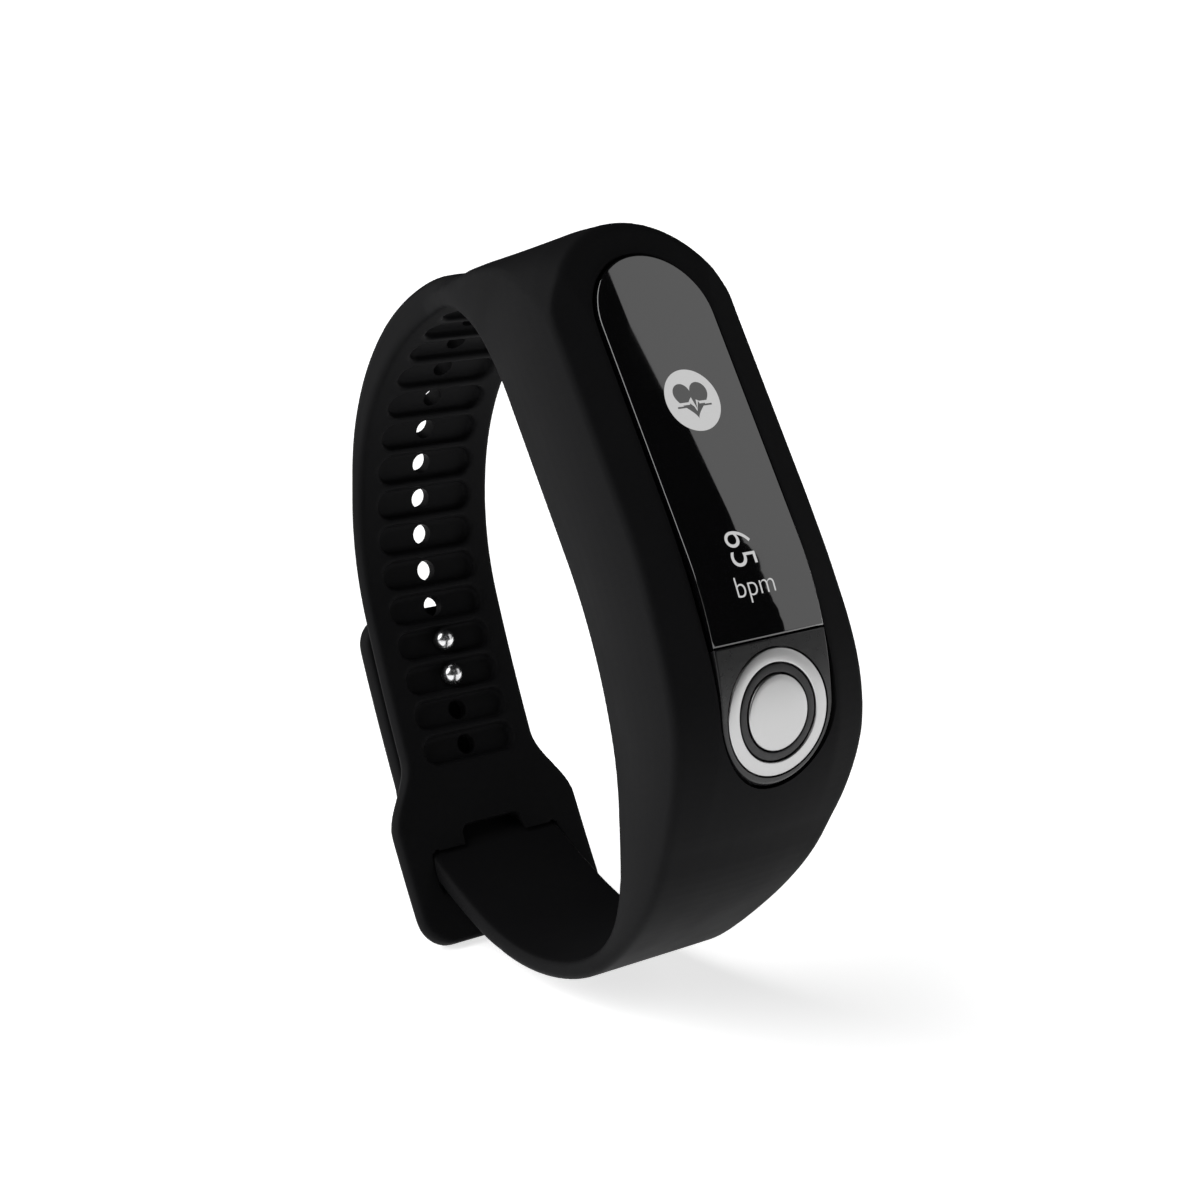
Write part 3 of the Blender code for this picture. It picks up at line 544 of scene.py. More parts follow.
def stations_value(stations, value):
    """Smooth interpolation through (place, size) stations that never overshoots them."""
    if value <= stations[0][0]:
        return stations[0][1]
    if value >= stations[-1][0]:
        return stations[-1][1]
    chords = [(high - low) / (end - start) for (start, low), (end, high) in zip(stations, stations[1:])]
    i = next(i for i in range(len(chords)) if value <= stations[i + 1][0])
    slopes = [station_slope(chords, k) for k in (i, i + 1)]
    (start, low), (end, high) = stations[i], stations[i + 1]
    step = end - start
    t = (value - start) / step
    rise = t * t * (3.0 - 2.0 * t)
    return (low * (1.0 - rise) + high * rise
            + step * (slopes[0] * t * (1.0 - t) ** 2 - slopes[1] * t * t * (1.0 - t)))


def averaged_value(stations, value, reach):
    """Stations smoothed over reach to either side."""
    samples = [stations_value(stations, value + reach * i / 6.0) for i in range(-6, 7)]
    return sum(samples) / len(samples)


def station_slope(chords, k):
    """Slope at station k: harmonic mean of the chords beside it, level at ends and turning points."""
    if k in (0, len(chords)) or chords[k - 1] * chords[k] <= 0.0:
        return 0.0
    return 2.0 * chords[k - 1] * chords[k] / (chords[k - 1] + chords[k])


def ahead(heading):
    return Vector((math.cos(heading), math.sin(heading)))


def run_point(start, heading, run, distance):
    """Position and heading at a distance along a chain of arcs in (Y, Z)."""
    place = Vector(start)
    left = distance
    for turn, length in run:
        used = min(left, length)
        bend = math.radians(turn) * used / length
        if abs(bend) < 1e-9:
            place += ahead(heading) * used
        else:
            radius = used / bend
            centre = place + ahead(heading).orthogonal() * radius
            heading += bend
            place = centre - ahead(heading).orthogonal() * radius
        left -= used
        if left <= 0.0:
            break
    return place, heading


SHORT_TIP, SHORT_TIP_HEADING = run_point(BACK_START, DISPLAY_TILT + math.pi, SHORT_RUN, SHORT_END)
THREAD_START = SHORT_TIP + ahead(SHORT_TIP_HEADING) * GAP
THREAD_TIP, THREAD_TIP_HEADING = run_point(THREAD_START, SHORT_TIP_HEADING, THREAD_RUN, THREAD_END)
TAIL_START = THREAD_TIP + ahead(THREAD_TIP_HEADING) * GAP


def path(start, heading, run, side):
    """A function from a distance on a run to its wrist-side point and outward direction."""
    def at(distance):
        place, bearing = run_point(start, heading, run, distance)
        return place, ahead(bearing).orthogonal() * side
    return at


long_run = path(BACK_START, DISPLAY_TILT, LONG_RUN, 1.0)
short_run = path(BACK_START, DISPLAY_TILT + math.pi, SHORT_RUN, -1.0)
thread_run = path(THREAD_START, SHORT_TIP_HEADING, THREAD_RUN, -1.0)
tail_run = path(TAIL_START, THREAD_TIP_HEADING, TAIL_RUN, -1.0)


def run_frame(run, distance):
    """Row-frame matrix whose X runs across the band and whose Z points outwards from the run."""
    place, out = run(distance)
    across = Vector((1.0, 0.0, 0.0))
    outward = Vector((0.0, out.x, out.y))
    matrix = Matrix((across, outward.cross(across), outward)).transposed().to_4x4()
    matrix.translation = Vector((0.0, place.x, place.y))
    return BAND @ matrix


def even(start, end, step):
    """Distances from start to end, no further apart than step."""
    count = max(1, math.ceil(abs(end - start) / step))
    return [start + (end - start) * i / count for i in range(count + 1)]


def tip_inset(distance, end):
    """How far a rounded tip has drawn in at a distance from its end."""
    left = TIP_CORNER - (end - distance)
    if left <= 0.0:
        return 0.0
    return TIP_CORNER - math.sqrt(max(0.0, TIP_CORNER ** 2 - left ** 2))


def mix(low, high, share):
    return low + (high - low) * share


def strap_section(inner_half, outer_half, thickness, corner, crown, rim_half, soft, bow=0.0, dome=0.0):
    """Half of a strap section as (across, outwards), from the wrist side to the front.

    The front is level inside rim_half when dome is 0, and one curve when it is 1.
    """
    side = arc((inner_half - soft, soft), (soft, soft), -90.0, 0.0, 4)
    for i in range(1, SIDE_STEPS):
        t = i / SIDE_STEPS
        bulge = bow * 4.0 * t * (1.0 - t)
        side.append((mix(inner_half, outer_half, t) + bulge, soft + (thickness - corner - soft) * t))
    side += arc((outer_half - corner, thickness - corner), (corner, corner), 0.0, 90.0, 6)
    for share in RIM_SHARES:
        across = rim_half * share
        side.append((across, thickness + crown * (1.0 - dome * (across / (outer_half - corner)) ** 2)))
    return side


def plain_section(half, thickness):
    """A section of the plain strap, level in front."""
    rim = half - STRAP_CORNER - STRAP_FLAT
    return strap_section(half - STRAP_LEAN, half, thickness, STRAP_CORNER, 0.0, rim, STRAP_SOFT)


def add_ring(shape, matrix, half_section):
    mirrored = [(-x, out) for x, out in reversed(half_section)]
    return [shape.verts.new(matrix @ Vector((x, 0.0, out))) for x, out in half_section + mirrored]


def loft(name, rings_of):
    """A closed loft through (run, distance, half section) stations."""
    shape = bmesh.new()
    rings = [add_ring(shape, run_frame(run, distance), section) for run, distance, section in rings_of]
    close_loft(shape, rings)
    return add_object(name, shape, IDENTITY, RUBBER)


# ---- rubber band ----
def face_height(along):
    """The front face in the pod frame: flat, then bent round the button."""
    below = max(0.0, FLAT_START - along)
    return FLAT_HEIGHT - (FACE_RADIUS - math.sqrt(FACE_RADIUS ** 2 - below ** 2))


def frame_section(half, depth, to_strap, crown, dome=0.0):
    """A section of the thick frame that holds the pod, turning into the strap as to_strap goes to 1."""
    inner = mix(WRIST_HALF_WIDTH, half - STRAP_LEAN, to_strap)
    corner = STRAP_CORNER + CORNER_GROWTH * to_strap
    rim = min(LENS_HALF_WIDTH + RIM_REACH, half - corner - RIM_CLEAR)
    bow = SIDE_BOW * (1.0 - to_strap)
    return strap_section(inner, half, depth, corner, crown, rim, FRAME_SOFT, bow, dome)


def long_frame_section(distance):
    """The frame above the display's middle, left too deep at its top end for the crease to trim."""
    to_strap = smooth(*LONG_NARROWING, distance)
    half = mix(FRAME_HALF_WIDTH, LONG_STRAP_HALF_WIDTH, to_strap)
    end = smooth(*CREASE_END, distance)
    excess = CREASE_EXCESS * smooth(*CREASE_TRIM, distance) * (1.0 - end) - UNDER_STRAP * end
    depth = stations_value(LONG_DEPTH, distance) + excess
    return frame_section(half, depth, to_strap, RIM_CROWN * (1.0 - end))


def short_frame_section(distance):
    """The frame below the display's middle, down into the short strap."""
    to_strap = smooth(*SHORT_NARROWING, distance)
    flare = BUTTON_FLARE * smooth(*FLARE_GROWTH, distance)
    half = mix(SHORT_STRAP_HALF_WIDTH, FRAME_HALF_WIDTH + flare, 1.0 - to_strap)
    excess = (LOWER_EXCESS + LOWER_BELLY * smooth(*LOWER_GROWTH, distance)) * (1.0 - to_strap)
    depth = averaged_value(SHORT_DEPTH, distance, SHORT_BLUR) + excess
    dome = smooth(*LOWER_ROUNDING, distance)
    return frame_section(half, depth, to_strap, RIM_CROWN * (1.0 - to_strap), dome)


def long_strap_section(distance):
    """The long strap and its paddle; it starts inside the frame's wall."""
    to_strap = smooth(*LONG_NARROWING, distance)
    half = mix(WRIST_HALF_WIDTH, LONG_STRAP_HALF_WIDTH, to_strap)
    half += (PADDLE_HALF_WIDTH - LONG_STRAP_HALF_WIDTH) * smooth(*PADDLE_WIDENING, distance)
    half -= tip_inset(distance, LONG_END)
    return plain_section(half, min(stations_value(LONG_DEPTH, distance), THICKEST_STRAP))


def crease_core():
    """The solid inside the frame's crease: a half-round top end whose skirt sweeps into the strap."""
    top_centre = FRAME_TOP - FRAME_HALF_WIDTH
    profile = []
    for distance, depth in CREASE_DEPTH:
        place, out = long_run(distance)
        along, height = to_pod(place + out * depth)
        profile.append((height, along - top_centre))
    crease_height = profile[0][0]
    profile[0] = (crease_height, FRAME_HALF_WIDTH)
    skirt_height, skirt_radius = profile[-1]
    profile.append((skirt_height - FAR_BELOW, skirt_radius + SKIRT_SPREAD))
    top = FLAT_HEIGHT - RIM_DROP
    rim = [(mix(crease_height, top, share), FRAME_HALF_WIDTH - inset) for share, inset in CREASE_ROUNDING]
    rim.append((top, LENS_HALF_WIDTH + CREASE_INNER))
    shape = bmesh.new()
    rings = []
    for height, radius in profile[::-1] + rim:
        square = 2.0 + SKIRT_SQUARING * smooth(0.0, SKIRT_REACH, crease_height - height)
        rings.append(core_ring(shape, top_centre, radius, height, square))
    close_loft(shape, rings)
    return add_object("crease_core", shape, POD)


def face_ring(shape, outline, lift):
    """A ring of vertices at a height above the bent face."""
    return [shape.verts.new((x, along, face_height(along) + lift)) for x, along in outline]


def core_ring(shape, top_centre, radius, height, square):
    """A ring round the top end: square is the exponent of its superellipse, 2 for a half circle."""
    outline = []
    for across, along in arc((0.0, 0.0), (1.0, 1.0), 0.0, 180.0, 48):
        across = math.copysign(abs(across) ** (2.0 / square), across)
        outline.append((radius * across, top_centre + radius * max(0.0, along) ** (2.0 / square)))
    outline += [(-radius, -CORE_FOOT), (radius, -CORE_FOOT)]
    return flat_ring(shape, outline, height)


def to_pod(place):
    """Pod-frame (along, height) of a band-frame (Y, Z) point."""
    cosine, sine = math.cos(DISPLAY_TILT), math.sin(DISPLAY_TILT)
    return place.x * cosine + place.y * sine, place.y * cosine - place.x * sine


def pod_outline(margin, steps=36):
    """The pod's outline seen along the display, grown by margin."""
    half = LENS_HALF_WIDTH + margin
    return (arc((0.0, LENS_ROUND_TOP), (half, half), 0.0, 180.0, steps)
            + arc((0.0, SURROUND_CENTRE), (half, SURROUND_RADIUS + margin), 180.0, 360.0, steps))


def pocket_cutter():
    """The hollow that the pod fills from the wrist side."""
    low, high = POCKET_ENDS
    outline = [(along, face_height(along) - POCKET_ROOF) for along in even(low, high, 2.0 * MM)]
    outline += [(high, -FAR_BELOW), (low, -FAR_BELOW)]
    shape = bmesh.new()
    rings = [[shape.verts.new((x, along, height)) for along, height in outline]
             for x in (-POCKET_HALF_WIDTH, POCKET_HALF_WIDTH)]
    close_loft(shape, rings)
    pocket = add_object("pocket", shape, POD)
    walls = prism(pod_outline(POCKET_MARGIN), -FAR_BELOW - MM, FAR_ABOVE)
    combine(pocket, [add_object("pocket_walls", walls, POD)], "INTERSECT")
    return pocket


def opening_cutter():
    """The opening round the pod's front, with a small chamfer where it meets the frame's face."""
    profile = ((GROOVE, -OPENING_FLOOR), (GROOVE, -RIM_DROP - CHAMFER_DEPTH),
               (GROOVE + RIM_CHAMFER, CHAMFER_TOP - RIM_DROP), (GROOVE + RIM_CHAMFER, FAR_ABOVE))
    shape = bmesh.new()
    close_loft(shape, [face_ring(shape, pod_outline(margin), lift) for margin, lift in profile])
    return add_object("opening", shape, POD)


def recess_outline():
    """A rung's recess has half-round ends."""
    flat = RECESS_HALF_LENGTH - RECESS_HALF_HEIGHT
    radii = (RECESS_HALF_HEIGHT, RECESS_HALF_HEIGHT)
    return arc((flat, 0.0), radii, -90.0, 90.0, 12) + arc((-flat, 0.0), radii, 90.0, 270.0, 12)


def ladder_cutters(outline, end):
    """A cutter for each rung, from inside the loop outwards."""
    return [add_object("rung", prism(outline, -CUTTER_START, end), run_frame(long_run, place))
            for place in (LADDER_FIRST - rung * LADDER_PITCH for rung in range(LADDER_COUNT))]


def slot_cutters():
    """The T-slot: a wide slanted part for the strap and a notch for the studs."""
    wide = prism(rounded_outline(2 * SLOT_HALF_WIDTH, STRAP_THICKNESS + 2 * SLOT_CLEARANCE, SLOT_CORNER),
                 SLOT_START, SLOT_END)
    # The prism stands on the threaded run, so its Z turns onto the run's own direction.
    stand = run_frame(thread_run, 0.0) @ Matrix.Translation((0.0, 0.0, STRAP_THICKNESS / 2))
    stand = stand @ Matrix.Rotation(math.radians(90.0), 4, "X")
    outline = rounded_outline(2 * NOTCH_HALF_WIDTH, NOTCH_END - NOTCH_START, NOTCH_CORNER)
    middle = run_frame(long_run, (NOTCH_START + NOTCH_END) / 2)
    return [add_object("slot", wide, stand), add_object("notch", prism(outline, *NOTCH_DEPTHS), middle)]


def mould(made):
    """Give a rubber piece one even skin with softly rounded edges."""
    remesh = made.modifiers.new("skin", "REMESH")
    remesh.mode = "VOXEL"
    remesh.voxel_size = VOXEL
    soften = made.modifiers.new("soften", "SMOOTH")
    soften.factor = 0.5
    soften.iterations = SOFTENING_PASSES
    apply_modifiers(made)
    made.data.materials.clear()
    made.data.materials.append(RUBBER)
    made.data.shade_smooth()


def make_band():
    """The frame, the long strap with its ladder and paddle, and the short strap up to the slot."""
    upper = [(long_run, d, long_frame_section(d)) for d in even(0.0, FRAME_END, FRAME_STEP)[::-1]]
    lower = [(short_run, d, short_frame_section(d)) for d in even(FRAME_STEP, OVERLAP_END, STRAP_STEP)]
    band = loft("band_rubber", upper + lower)
    combine(band, [crease_core()], "INTERSECT")
    marks = [LONG_END - TIP_CORNER * share for share in TIP_MARKS]
    marks += even(LONG_END - TIP_CORNER, STRAP_START, STRAP_STEP)
    strap = loft("long_strap", [(long_run, d, long_strap_section(d)) for d in marks])
    combine(band, [strap], "UNION")
    recesses = ladder_cutters(recess_outline(), RECESS_DEPTH)
    combine(band, [pocket_cutter()] + recesses + slot_cutters(), "DIFFERENCE")
    mould(band)
    holes = ladder_cutters(circle(HOLE_RADIUS, 32), HOLE_CUTTER_END)
    combine(band, [opening_cutter()] + holes, "DIFFERENCE")
    band.data.set_sharp_from_angle(angle=math.radians(50.0))
    place_piece(band, "band", "rubber", "strap", "strap_in_slot")


def tail_section(distance):
    half = TAIL_HALF_WIDTH - tip_inset(distance, TAIL_END)
    half += (SHORT_STRAP_HALF_WIDTH - TAIL_HALF_WIDTH) * (1.0 - smooth(*TAIL_NARROWING, distance))
    return plain_section(half, STRAP_THICKNESS + TAIL_EXTRA * smooth(*TAIL_GROWTH, distance))


def swollen(section, thickness, swell):
    """A half section grown by swell all round."""
    return [(x + swell, out * (thickness + 2.0 * swell) / thickness - swell) for x, out in section]


def overlap_section(distance):
    """The fold's section inside the short strap: under its skin at first, then over it."""
    swell = UNDER_SKIN + (OVER_SKIN - UNDER_SKIN) * smooth(OVERLAP_START, OVERLAP_END, distance)
    return swollen(short_frame_section(distance), STRAP_THICKNESS, swell)


def make_fold():
    """The short strap's end: through the slot, folded back, and up outside the long strap."""
    through_slot = swollen(short_frame_section(SHORT_END), STRAP_THICKNESS, OVER_SKIN)
    stations = [(short_run, d, overlap_section(d)) for d in even(OVERLAP_START, SHORT_END, FOLD_STEP)]
    stations += [(thread_run, d, through_slot) for d in even(0.0, THREAD_END, FOLD_STEP)]
    tail_marks = even(0.0, TAIL_END - TIP_CORNER, TAIL_STEP)
    tail_marks += [TAIL_END - TIP_CORNER * share for share in TIP_MARKS[::-1]]
    stations += [(tail_run, d, tail_section(d)) for d in tail_marks]
    fold = loft("fold_rubber", stations)
    seat = prism(rounded_outline(PLATE_WIDTH + 2 * GAP, PLATE_HEIGHT + 2 * GAP, PLATE_CORNER + GAP),
                 CLASP_FLOOR, CLASP_FLOOR + FAR_ABOVE)
    combine(fold, [add_object("seat", seat, CLASP_FRAME)], "DIFFERENCE")
    mould(fold)
    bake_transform(fold)
    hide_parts("strap_tail")


# ---- clasp ----
STUD_PLACES = tuple(LADDER_FIRST - rung * LADDER_PITCH for rung in STUD_RUNGS)
CLASP_FRAME = run_frame(long_run, sum(STUD_PLACES) / 2)


def make_clasp():
    """The clasp plate on the tail and its two ball-headed studs through the ladder."""
    low = CLASP_FLOOR + GAP
    outline = rounded_outline(PLATE_WIDTH, PLATE_HEIGHT, PLATE_CORNER, 8)
    plate = add_object("clasp_plate_cover", prism(outline, low, low + PLATE_THICKNESS), CLASP_FRAME, STEEL)
    bevelled(plate, PLATE_BEVEL)
    place_piece(plate, "tail", "brushed_steel", "clasp_plate")
    for place, node in zip(STUD_PLACES, ("clasp_stud_lower", "clasp_stud_upper")):
        turns = [math.radians(angle) for angle in range(4, 133, 8)]
        profile = [(STUD_HEAD * math.sin(turn), STUD_CENTRE - STUD_HEAD * math.cos(turn)) for turn in turns]
        profile += [(STUD_NECK, STUD_NECK_START), (STUD_NECK, CLASP_FLOOR)]
        stud = add_object(node + "_ball", turned(profile, 48), run_frame(long_run, place), POLISHED)
        place_piece(stud, "tail", "polished_steel", node)


def turned(profile, segments):
    """A closed solid turned about Z from a (radius, height) profile."""
    shape = bmesh.new()
    rings = [flat_ring(shape, circle(radius, segments), height) for radius, height in profile]
    return close_rings(shape, rings)


# ---- the pod's front ----
def dished_plate(outline_of, insets, thickness):
    """A plate that follows the bent face; each inset ring sits a little higher than the last.

    outline_of(inset) gives (across, along) points that run round the piece and mirror left to right,
    and insets is a list of (inset, drop below the face).
    """
    shape = bmesh.new()
    steps = [(insets[0][0], thickness)] + insets
    rings = [face_ring(shape, outline_of(inset), -drop) for inset, drop in steps]
    skin_rows(shape, rings)
    for ring in (rings[0], rings[-1]):
        count = len(ring)
        for i in range(count // 2 - 1):
            shape.faces.new((ring[i], ring[i + 1], ring[count - 2 - i], ring[count - 1 - i]))
    return shape


def glass_outline(inset):
    """The cover glass: straight lower edge, straight sides, half-round top."""
    half = LENS_HALF_WIDTH - inset
    low = LENS_LOWER_EDGE + inset
    sides = [low + (LENS_ROUND_TOP - low) * i / 48 for i in range(48)]
    right = [(half, along) for along in sides]
    top = arc((0.0, LENS_ROUND_TOP), (half, half), 0.0, 180.0, 41)
    left = [(-half, along) for along in reversed(sides)]
    return right + top + left


def surround_outline(inset):
    """The button surround: straight upper edge, straight sides, round lower end."""
    half = LENS_HALF_WIDTH - inset
    high = LENS_LOWER_EDGE - SURROUND_JOINT - inset
    sides = [high + (SURROUND_CENTRE - high) * i / 8 for i in range(8)]
    right = [(half, along) for along in sides]
    bottom = arc((0.0, SURROUND_CENTRE), (half, SURROUND_RADIUS - inset), 0.0, -180.0, 47)
    left = [(-half, along) for along in reversed(sides)]
    return right + bottom + left


EDGE_ROUNDING = [(0.0, 0.16 * MM), (0.015 * MM, 0.10 * MM), (0.045 * MM, 0.05 * MM), (0.09 * MM, 0.02 * MM),
                 (0.14 * MM, 0.0), (0.18 * MM, 0.0)]


def make_lens():
    insets = EDGE_ROUNDING + [(inset * MM, 0.0) for inset in (0.6, 1.2, 2.4, 3.6, 4.8)]
    glass = add_object("cover_glass", dished_plate(glass_outline, insets, LENS_THICKNESS), POD, GLASS, 60.0)
    place_piece(glass, "pod", "lens_glass", "display_lens")


BUTTON = POD @ Matrix.Translation((0.0, 0.0, face_height(0.0))) @ Matrix.Rotation(BUTTON_TILT, 4, "X")


def make_surround():
    insets = EDGE_ROUNDING + [(inset * MM, 0.0) for inset in (0.5, 1.4, 2.6, 3.8, 4.9)]
    plate = dished_plate(surround_outline, insets, SURROUND_THICKNESS)
    surround = add_object("button_surround_cover", plate, POD, SURROUND, 60.0)
    seat = prism(circle(RING_OUTER + RING_CLEARANCE, RING_SEGMENTS), RING_SEAT_FLOOR, 3.0 * MM)
    combine(surround, [add_object("ring_seat", seat, BUTTON)], "DIFFERENCE")
    surround.data.set_sharp_from_angle(angle=math.radians(40.0))
    place_piece(surround, "pod", "pod_plastic", "button_surround")


def sag(along):
    """Height of the bent face in the button frame."""
    return math.sqrt(FACE_RADIUS ** 2 - along ** 2) - FACE_RADIUS


def bent_ring(outer, inner, top, low, edge):
    """A ring or disc with rounded upper edges that follows the bent face, in the button frame."""
    quarter = [(edge * (1.0 - math.cos(math.radians(a))), edge * (1.0 - math.sin(math.radians(a))))
               for a in (0, 22, 45, 67, 90)]
    profile = [(outer, low)] + [(outer - inset, top - drop) for inset, drop in quarter]
    if inner > 0.0:
        profile += [(inner + inset, top - drop) for inset, drop in reversed(quarter)] + [(inner, low)]
    else:
        profile += [(outer * share, top) for share in (0.8, 0.55, 0.3, 0.08)]
    shape = bmesh.new()
    rings = [[shape.verts.new((x, y, sag(y) + height)) for x, y in circle(radius, RING_SEGMENTS)]
             for radius, height in profile]
    if inner > 0.0:
        return skin_rows(shape, rings + rings[:1])
    return close_rings(shape, rings)


# Piece, outer and inner radius, then top, low and edge radius in mm, surface, body, slot and node.
BUTTON_PIECES = (
    ("contact_ring", RING_OUTER, RING_INNER, 0.02, -0.9, 0.12, SATIN_STEEL, "pod", "brushed_steel",
     "electrode_ring"),
    ("insulating_ring", INSULATOR_OUTER, INSULATOR_INNER, -0.06, -0.9, 0.1, INSULATOR, "pod", "pod_plastic",
     "ring_insulator"),
    ("push_disc", BUTTON_RADIUS, 0.0, 0.05, -0.85, 0.14, SATIN_STEEL, "button", "brushed_steel",
     "button_disc"))


def make_button_group():
    """The electrode ring, the insulating ring and the button disc."""
    for name, outer, inner, top, low, edge, surface, body, slot, node in BUTTON_PIECES:
        made = add_object(name, bent_ring(outer, inner, top * MM, low * MM, edge * MM), BUTTON, surface)
        place_piece(made, body, slot, node)


# ---- lit readout ----
READOUT_LIFT = 0.02 * MM
READOUT_MESH = 0.7 * MM  # longest edge, short enough to follow the bent glass
LETTER_THINNING = -0.035 * MM
HEART_UNIT = 3.9 * MM / 34.0  # the curve below is about 34 units wide
HEART_PLACE = 27.15 * MM
HEART_ACROSS = 0.25 * MM
HEART_CIRCLE_RADIUS = 2.85 * MM


def lift_onto_face(made):
    """Cut a flat drawing finely and lay it just above the bent glass."""
    shape = bmesh.new()
    shape.from_mesh(made.data)
    bmesh.ops.triangulate(shape, faces=shape.faces)
    for _ in range(4):
        long_edges = [e for e in shape.edges if e.calc_length() > READOUT_MESH]
        if not long_edges:
            break
        bmesh.ops.subdivide_edges(shape, edges=long_edges, cuts=1)
        bmesh.ops.triangulate(shape, faces=shape.faces)
    for vert in shape.verts:
        vert.co.z = face_height(vert.co.y) + READOUT_LIFT + vert.co.z
    bmesh.ops.transform(shape, matrix=POD, verts=shape.verts)
    shape.to_mesh(made.data)
    shape.free()


def flat_drawing(name, outline, level, surface):
    """A flat polygon in the pod frame, laid on the glass at a small extra height."""
    shape = bmesh.new()
    shape.faces.new(flat_ring(shape, outline, level))
    made = add_object(name, shape, IDENTITY, surface)
    lift_onto_face(made)
    place_piece(made, "pod", "display")


def heart_outline(steps=64):
    """A plain heart curve, upright, centred on the display's heart place."""
    points = []
    for i in range(steps):
        t = 2.0 * math.pi * i / steps
        across = 16.0 * math.sin(t) ** 3
        up = 13.0 * math.cos(t) - 5.0 * math.cos(2 * t) - 2.0 * math.cos(3 * t) - math.cos(4 * t)
        points.append((HEART_ACROSS + across * HEART_UNIT, HEART_PLACE + (up + 2.0) * HEART_UNIT))
    return points


def ribbon(points, width):
    """A flat line of constant width through points, as one closed outline."""
    upper, lower = [], []
    for i, point in enumerate(points):
        before = Vector(points[max(0, i - 1)])
        after = Vector(points[min(len(points) - 1, i + 1)])
        along = (after - before).normalized()
        side = Vector((-along.y, along.x)) * width / 2
        upper.append(tuple(Vector(point) + side))
        lower.append(tuple(Vector(point) - side))
    return upper + lower[::-1]


def make_heart():
    """A generic pulse symbol: a lit disc, a dark heart and a pulse line across it."""
    circle_points = circle(HEART_CIRCLE_RADIUS, 64, (HEART_ACROSS, HEART_PLACE))
    flat_drawing("pulse_disc", circle_points, 0.0, GLOW)
    flat_drawing("pulse_heart", heart_outline(), 0.012 * MM, GLASS)
    base = HEART_PLACE - 0.35 * MM
    underline = [(HEART_ACROSS + x * MM, base - 0.2 * MM) for x in (-1.85, 1.85)]
    flat_drawing("pulse_base", ribbon(underline, 0.16 * MM), 0.018 * MM, GLASS)
    beat = [(-1.75, 0.08), (-0.5, 0.08), (-0.2, 0.55), (0.1, -0.6), (0.4, 0.3), (0.6, 0.08), (1.75, 0.08)]
    line = [(HEART_ACROSS + x * MM, base + y * MM) for x, y in beat]
    flat_drawing("pulse_line", ribbon(line, 0.24 * MM), 0.024 * MM, GLOW)


def make_text(name, words, size, narrow, centre, turn):
    """Lit lettering laid on the glass, turned about the display's outward axis."""
    curve = bpy.data.curves.new(name, "FONT")
    curve.body = words
    curve.size = size
    curve.offset = LETTER_THINNING
    curve.align_x = "CENTER"
    curve.align_y = "CENTER"
    writer = link_object(name + "_curve", curve)
    mesh = finished_mesh(writer)
    bpy.data.objects.remove(writer, do_unlink=True)
    made = link_object(name, mesh)
    mesh.transform(Matrix.Translation((*centre, 0.0)) @ Matrix.Rotation(turn, 4, "Z")
                   @ Matrix.Diagonal((narrow, 1.0, 1.0, 1.0)))
    mesh.materials.clear()
    mesh.materials.append(GLOW)
    lift_onto_face(made)
    place_piece(made, "pod", "display")


def make_readout():
    make_heart()
    make_text("readout_number", "65", 3.9 * MM, 0.92, (-0.72 * MM, 13.6 * MM), math.radians(-90.0))
    make_text("readout_unit", "bpm", 2.6 * MM, 0.98, (-0.3 * MM, 10.3 * MM), 0.0)


# ---- carried-over nodes ----
NODE_SURFACES = (
    (POD_PLASTIC, ("pod_top_housing", "pod_base_cover")),
    (WINDOW, ("sensor_window", "display_panel", "sensor_led_left", "sensor_led_right")),
    (STEEL, ("rear_electrode_upper", "rear_electrode_lower", "display_bracket", "usb_receptacle",
             "vibration_motor", "pod_screw_1", "pod_screw_2", "pod_screw_3", "pod_screw_4")),
    (CHIP, ("processor_chip", "radio_chip", "memory_chip", "sensor_photodiode", "button_switch")),
    (BOARD, ("main_board", "sensor_board", "button_board")),
    (FOIL, ("battery",)),
    (FLEX, ("display_flex",)))
WELD_DISTANCE = 0.001 * MM
NODE_BEVEL = 0.08 * MM


def dress_nodes():
    """Better materials and softened edges on the CAD nodes that stay."""
    for surface, names in NODE_SURFACES:
        for node in (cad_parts[name] for name in names):
            for slot in node.material_slots:
                slot.material = surface
            node.data.shade_smooth()
            node.modifiers.new("joined_faces", "WELD").merge_threshold = WELD_DISTANCE
            bevelled(node, NODE_BEVEL, 2)


# ---- studio ----
CAMERA_PLACE = Vector((-125.40, -138.06, 58.49)) * MM
CAMERA_LOOK = Vector((0.59099, 0.76568, -0.25390))
FOCAL_LENGTH = 70.2  # millimetres on a 36 mm sensor
FLOOR_RADIUS = 40.0
FLOOR_GLOW = 0.72
WORLD_LIGHT = 0.012
WORLD_SEEN = 1.0
SUN_DIRECTION = (-120.0, 36.0)  # degrees from -Y towards +X, and above the floor
SUN_STRENGTH = 3.0
SUN_ANGLE = math.radians(75.0)  # a wide sun casts soft shadows
SOFTBOX_DIRECTION = (53.0, 37.4)
SOFTBOX_DISTANCE = 0.8
SOFTBOX_ROLL = math.radians(24.5)
SOFTBOX_GLOW = 0.8
SOFTBOX_WIDTH = 0.496
SOFTBOX_TARGET = 27.0 * MM  # the softbox faces this point along the display
# The softbox's near edge, in millimetres across and up its own plane, from its top to its foot.
SOFTBOX_EDGE = in_mm(((-9.0, 160.0), (-9.0, 82.0), (-9.5, 55.0), (-7.5, 27.0), (-3.4, 5.0), (-1.7, -35.0),
                      (-2.2, -56.0), (-15.3, -176.0), (-18.3, -250.0), (-15.5, -311.0), (-10.0, -370.0),
                      (-3.0, -425.0), (6.0, -494.0), (30.0, -740.0)))


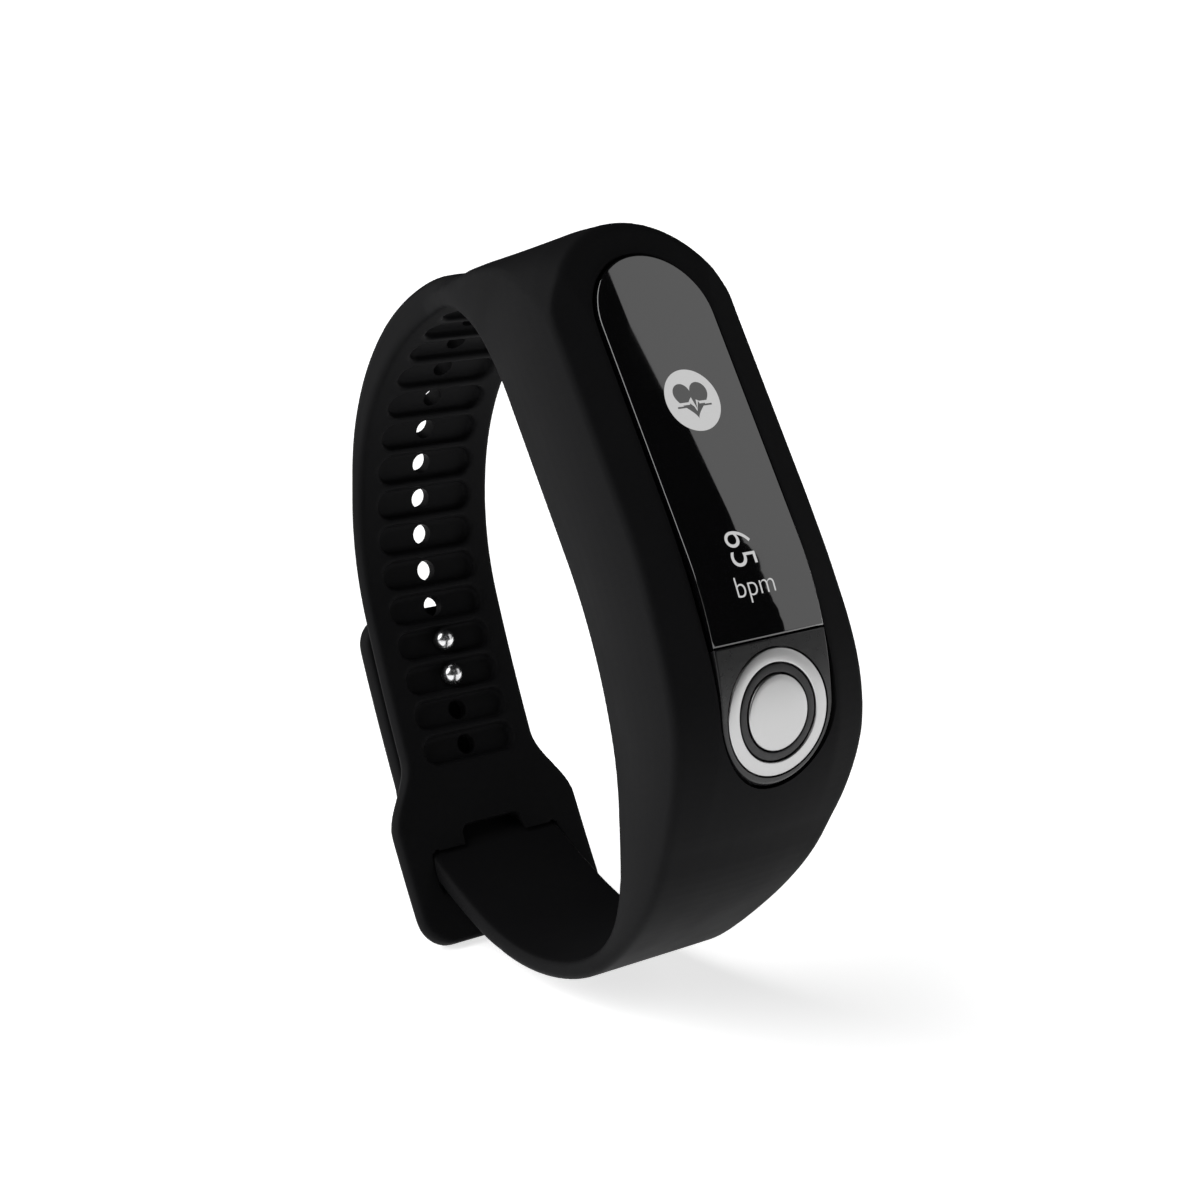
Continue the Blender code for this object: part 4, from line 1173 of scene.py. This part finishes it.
def make_camera():
    data = bpy.data.cameras.new("camera")
    data.lens = FOCAL_LENGTH
    data.sensor_width = 36.0
    data.clip_start = 0.01
    data.clip_end = 100.0
    camera = link_object("camera", data)
    camera.location = BAND @ CAMERA_PLACE
    camera.rotation_euler = CAMERA_LOOK.to_track_quat("-Z", "Y").to_euler()
    bpy.context.scene.camera = camera


def make_floor():
    """A wide pale floor under the lowest piece; its own slight glow keeps shadows light."""
    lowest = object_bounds()[0][2]
    shape = bmesh.new()
    shape.faces.new(flat_ring(shape, circle(FLOOR_RADIUS, 64), lowest))
    made = Nodes("pale_floor", (0.93, 0.93, 0.93), 0.8)
    made.tint(made.noise(0.5, 2.0), (0.92, 0.92, 0.92), (0.94, 0.94, 0.94))
    made.set("Specular IOR Level", 0.0)
    made.glow(FLOOR_GLOW)
    add_object("floor", shape, IDENTITY, made.material)


def make_world():
    """A background that looks pale but hardly lights the scene, so the glass can stay black."""
    world = bpy.data.worlds.new("studio")
    world.use_nodes = True
    background = world.node_tree.nodes["Background"]
    rays = world.node_tree.nodes.new("ShaderNodeLightPath")
    strength = world.node_tree.nodes.new("ShaderNodeMapRange")
    strength.inputs["To Min"].default_value = WORLD_LIGHT
    strength.inputs["To Max"].default_value = WORLD_SEEN
    world.node_tree.links.new(rays.outputs["Is Camera Ray"], strength.inputs["Value"])
    world.node_tree.links.new(strength.outputs["Result"], background.inputs["Strength"])
    background.inputs["Color"].default_value = (0.97, 0.98, 1.0, 1.0)
    bpy.context.scene.world = world


def direction(azimuth, elevation):
    turn, rise = math.radians(azimuth), math.radians(elevation)
    return Vector((math.sin(turn) * math.cos(rise), -math.cos(turn) * math.cos(rise), math.sin(rise)))


def make_sun():
    """An even key over the whole floor."""
    data = bpy.data.lights.new("key", "SUN")
    data.energy = SUN_STRENGTH
    data.angle = SUN_ANGLE
    turn = direction(*SUN_DIRECTION).to_track_quat("Z", "Y")
    link_object("key", data).matrix_world = turn.to_matrix().to_4x4()


def make_softbox():
    """A tall glowing panel that the cover glass mirrors, out of the camera's sight."""
    outward = direction(*SOFTBOX_DIRECTION)
    middle = POD @ Vector((0.0, SOFTBOX_TARGET, FLAT_HEIGHT)) + outward * SOFTBOX_DISTANCE
    level = Vector((0.0, 0.0, 1.0)).cross(outward).normalized()
    upright = outward.cross(level)
    right = level * math.cos(SOFTBOX_ROLL) - upright * math.sin(SOFTBOX_ROLL)
    up = level * math.sin(SOFTBOX_ROLL) + upright * math.cos(SOFTBOX_ROLL)
    shape = bmesh.new()
    near = [shape.verts.new(middle + right * x + up * y) for x, y in SOFTBOX_EDGE]
    far = [shape.verts.new(middle + right * SOFTBOX_WIDTH + up * y) for x, y in SOFTBOX_EDGE]
    for i in range(len(near) - 1):
        shape.faces.new((near[i], near[i + 1], far[i + 1], far[i]))
    made = Nodes("softbox_panel", (0.0, 0.0, 0.0), 1.0)
    made.set("Specular IOR Level", 0.0)
    made.glow(SOFTBOX_GLOW)
    panel = add_object("softbox", shape, IDENTITY, made.material)
    panel.visible_camera = False


make_band()
make_fold()
make_clasp()
make_lens()
make_surround()
make_button_group()
make_readout()
dress_nodes()
make_camera()
make_floor()
make_world()
make_sun()
make_softbox()
bpy.context.scene.view_settings.view_transform = "Standard"
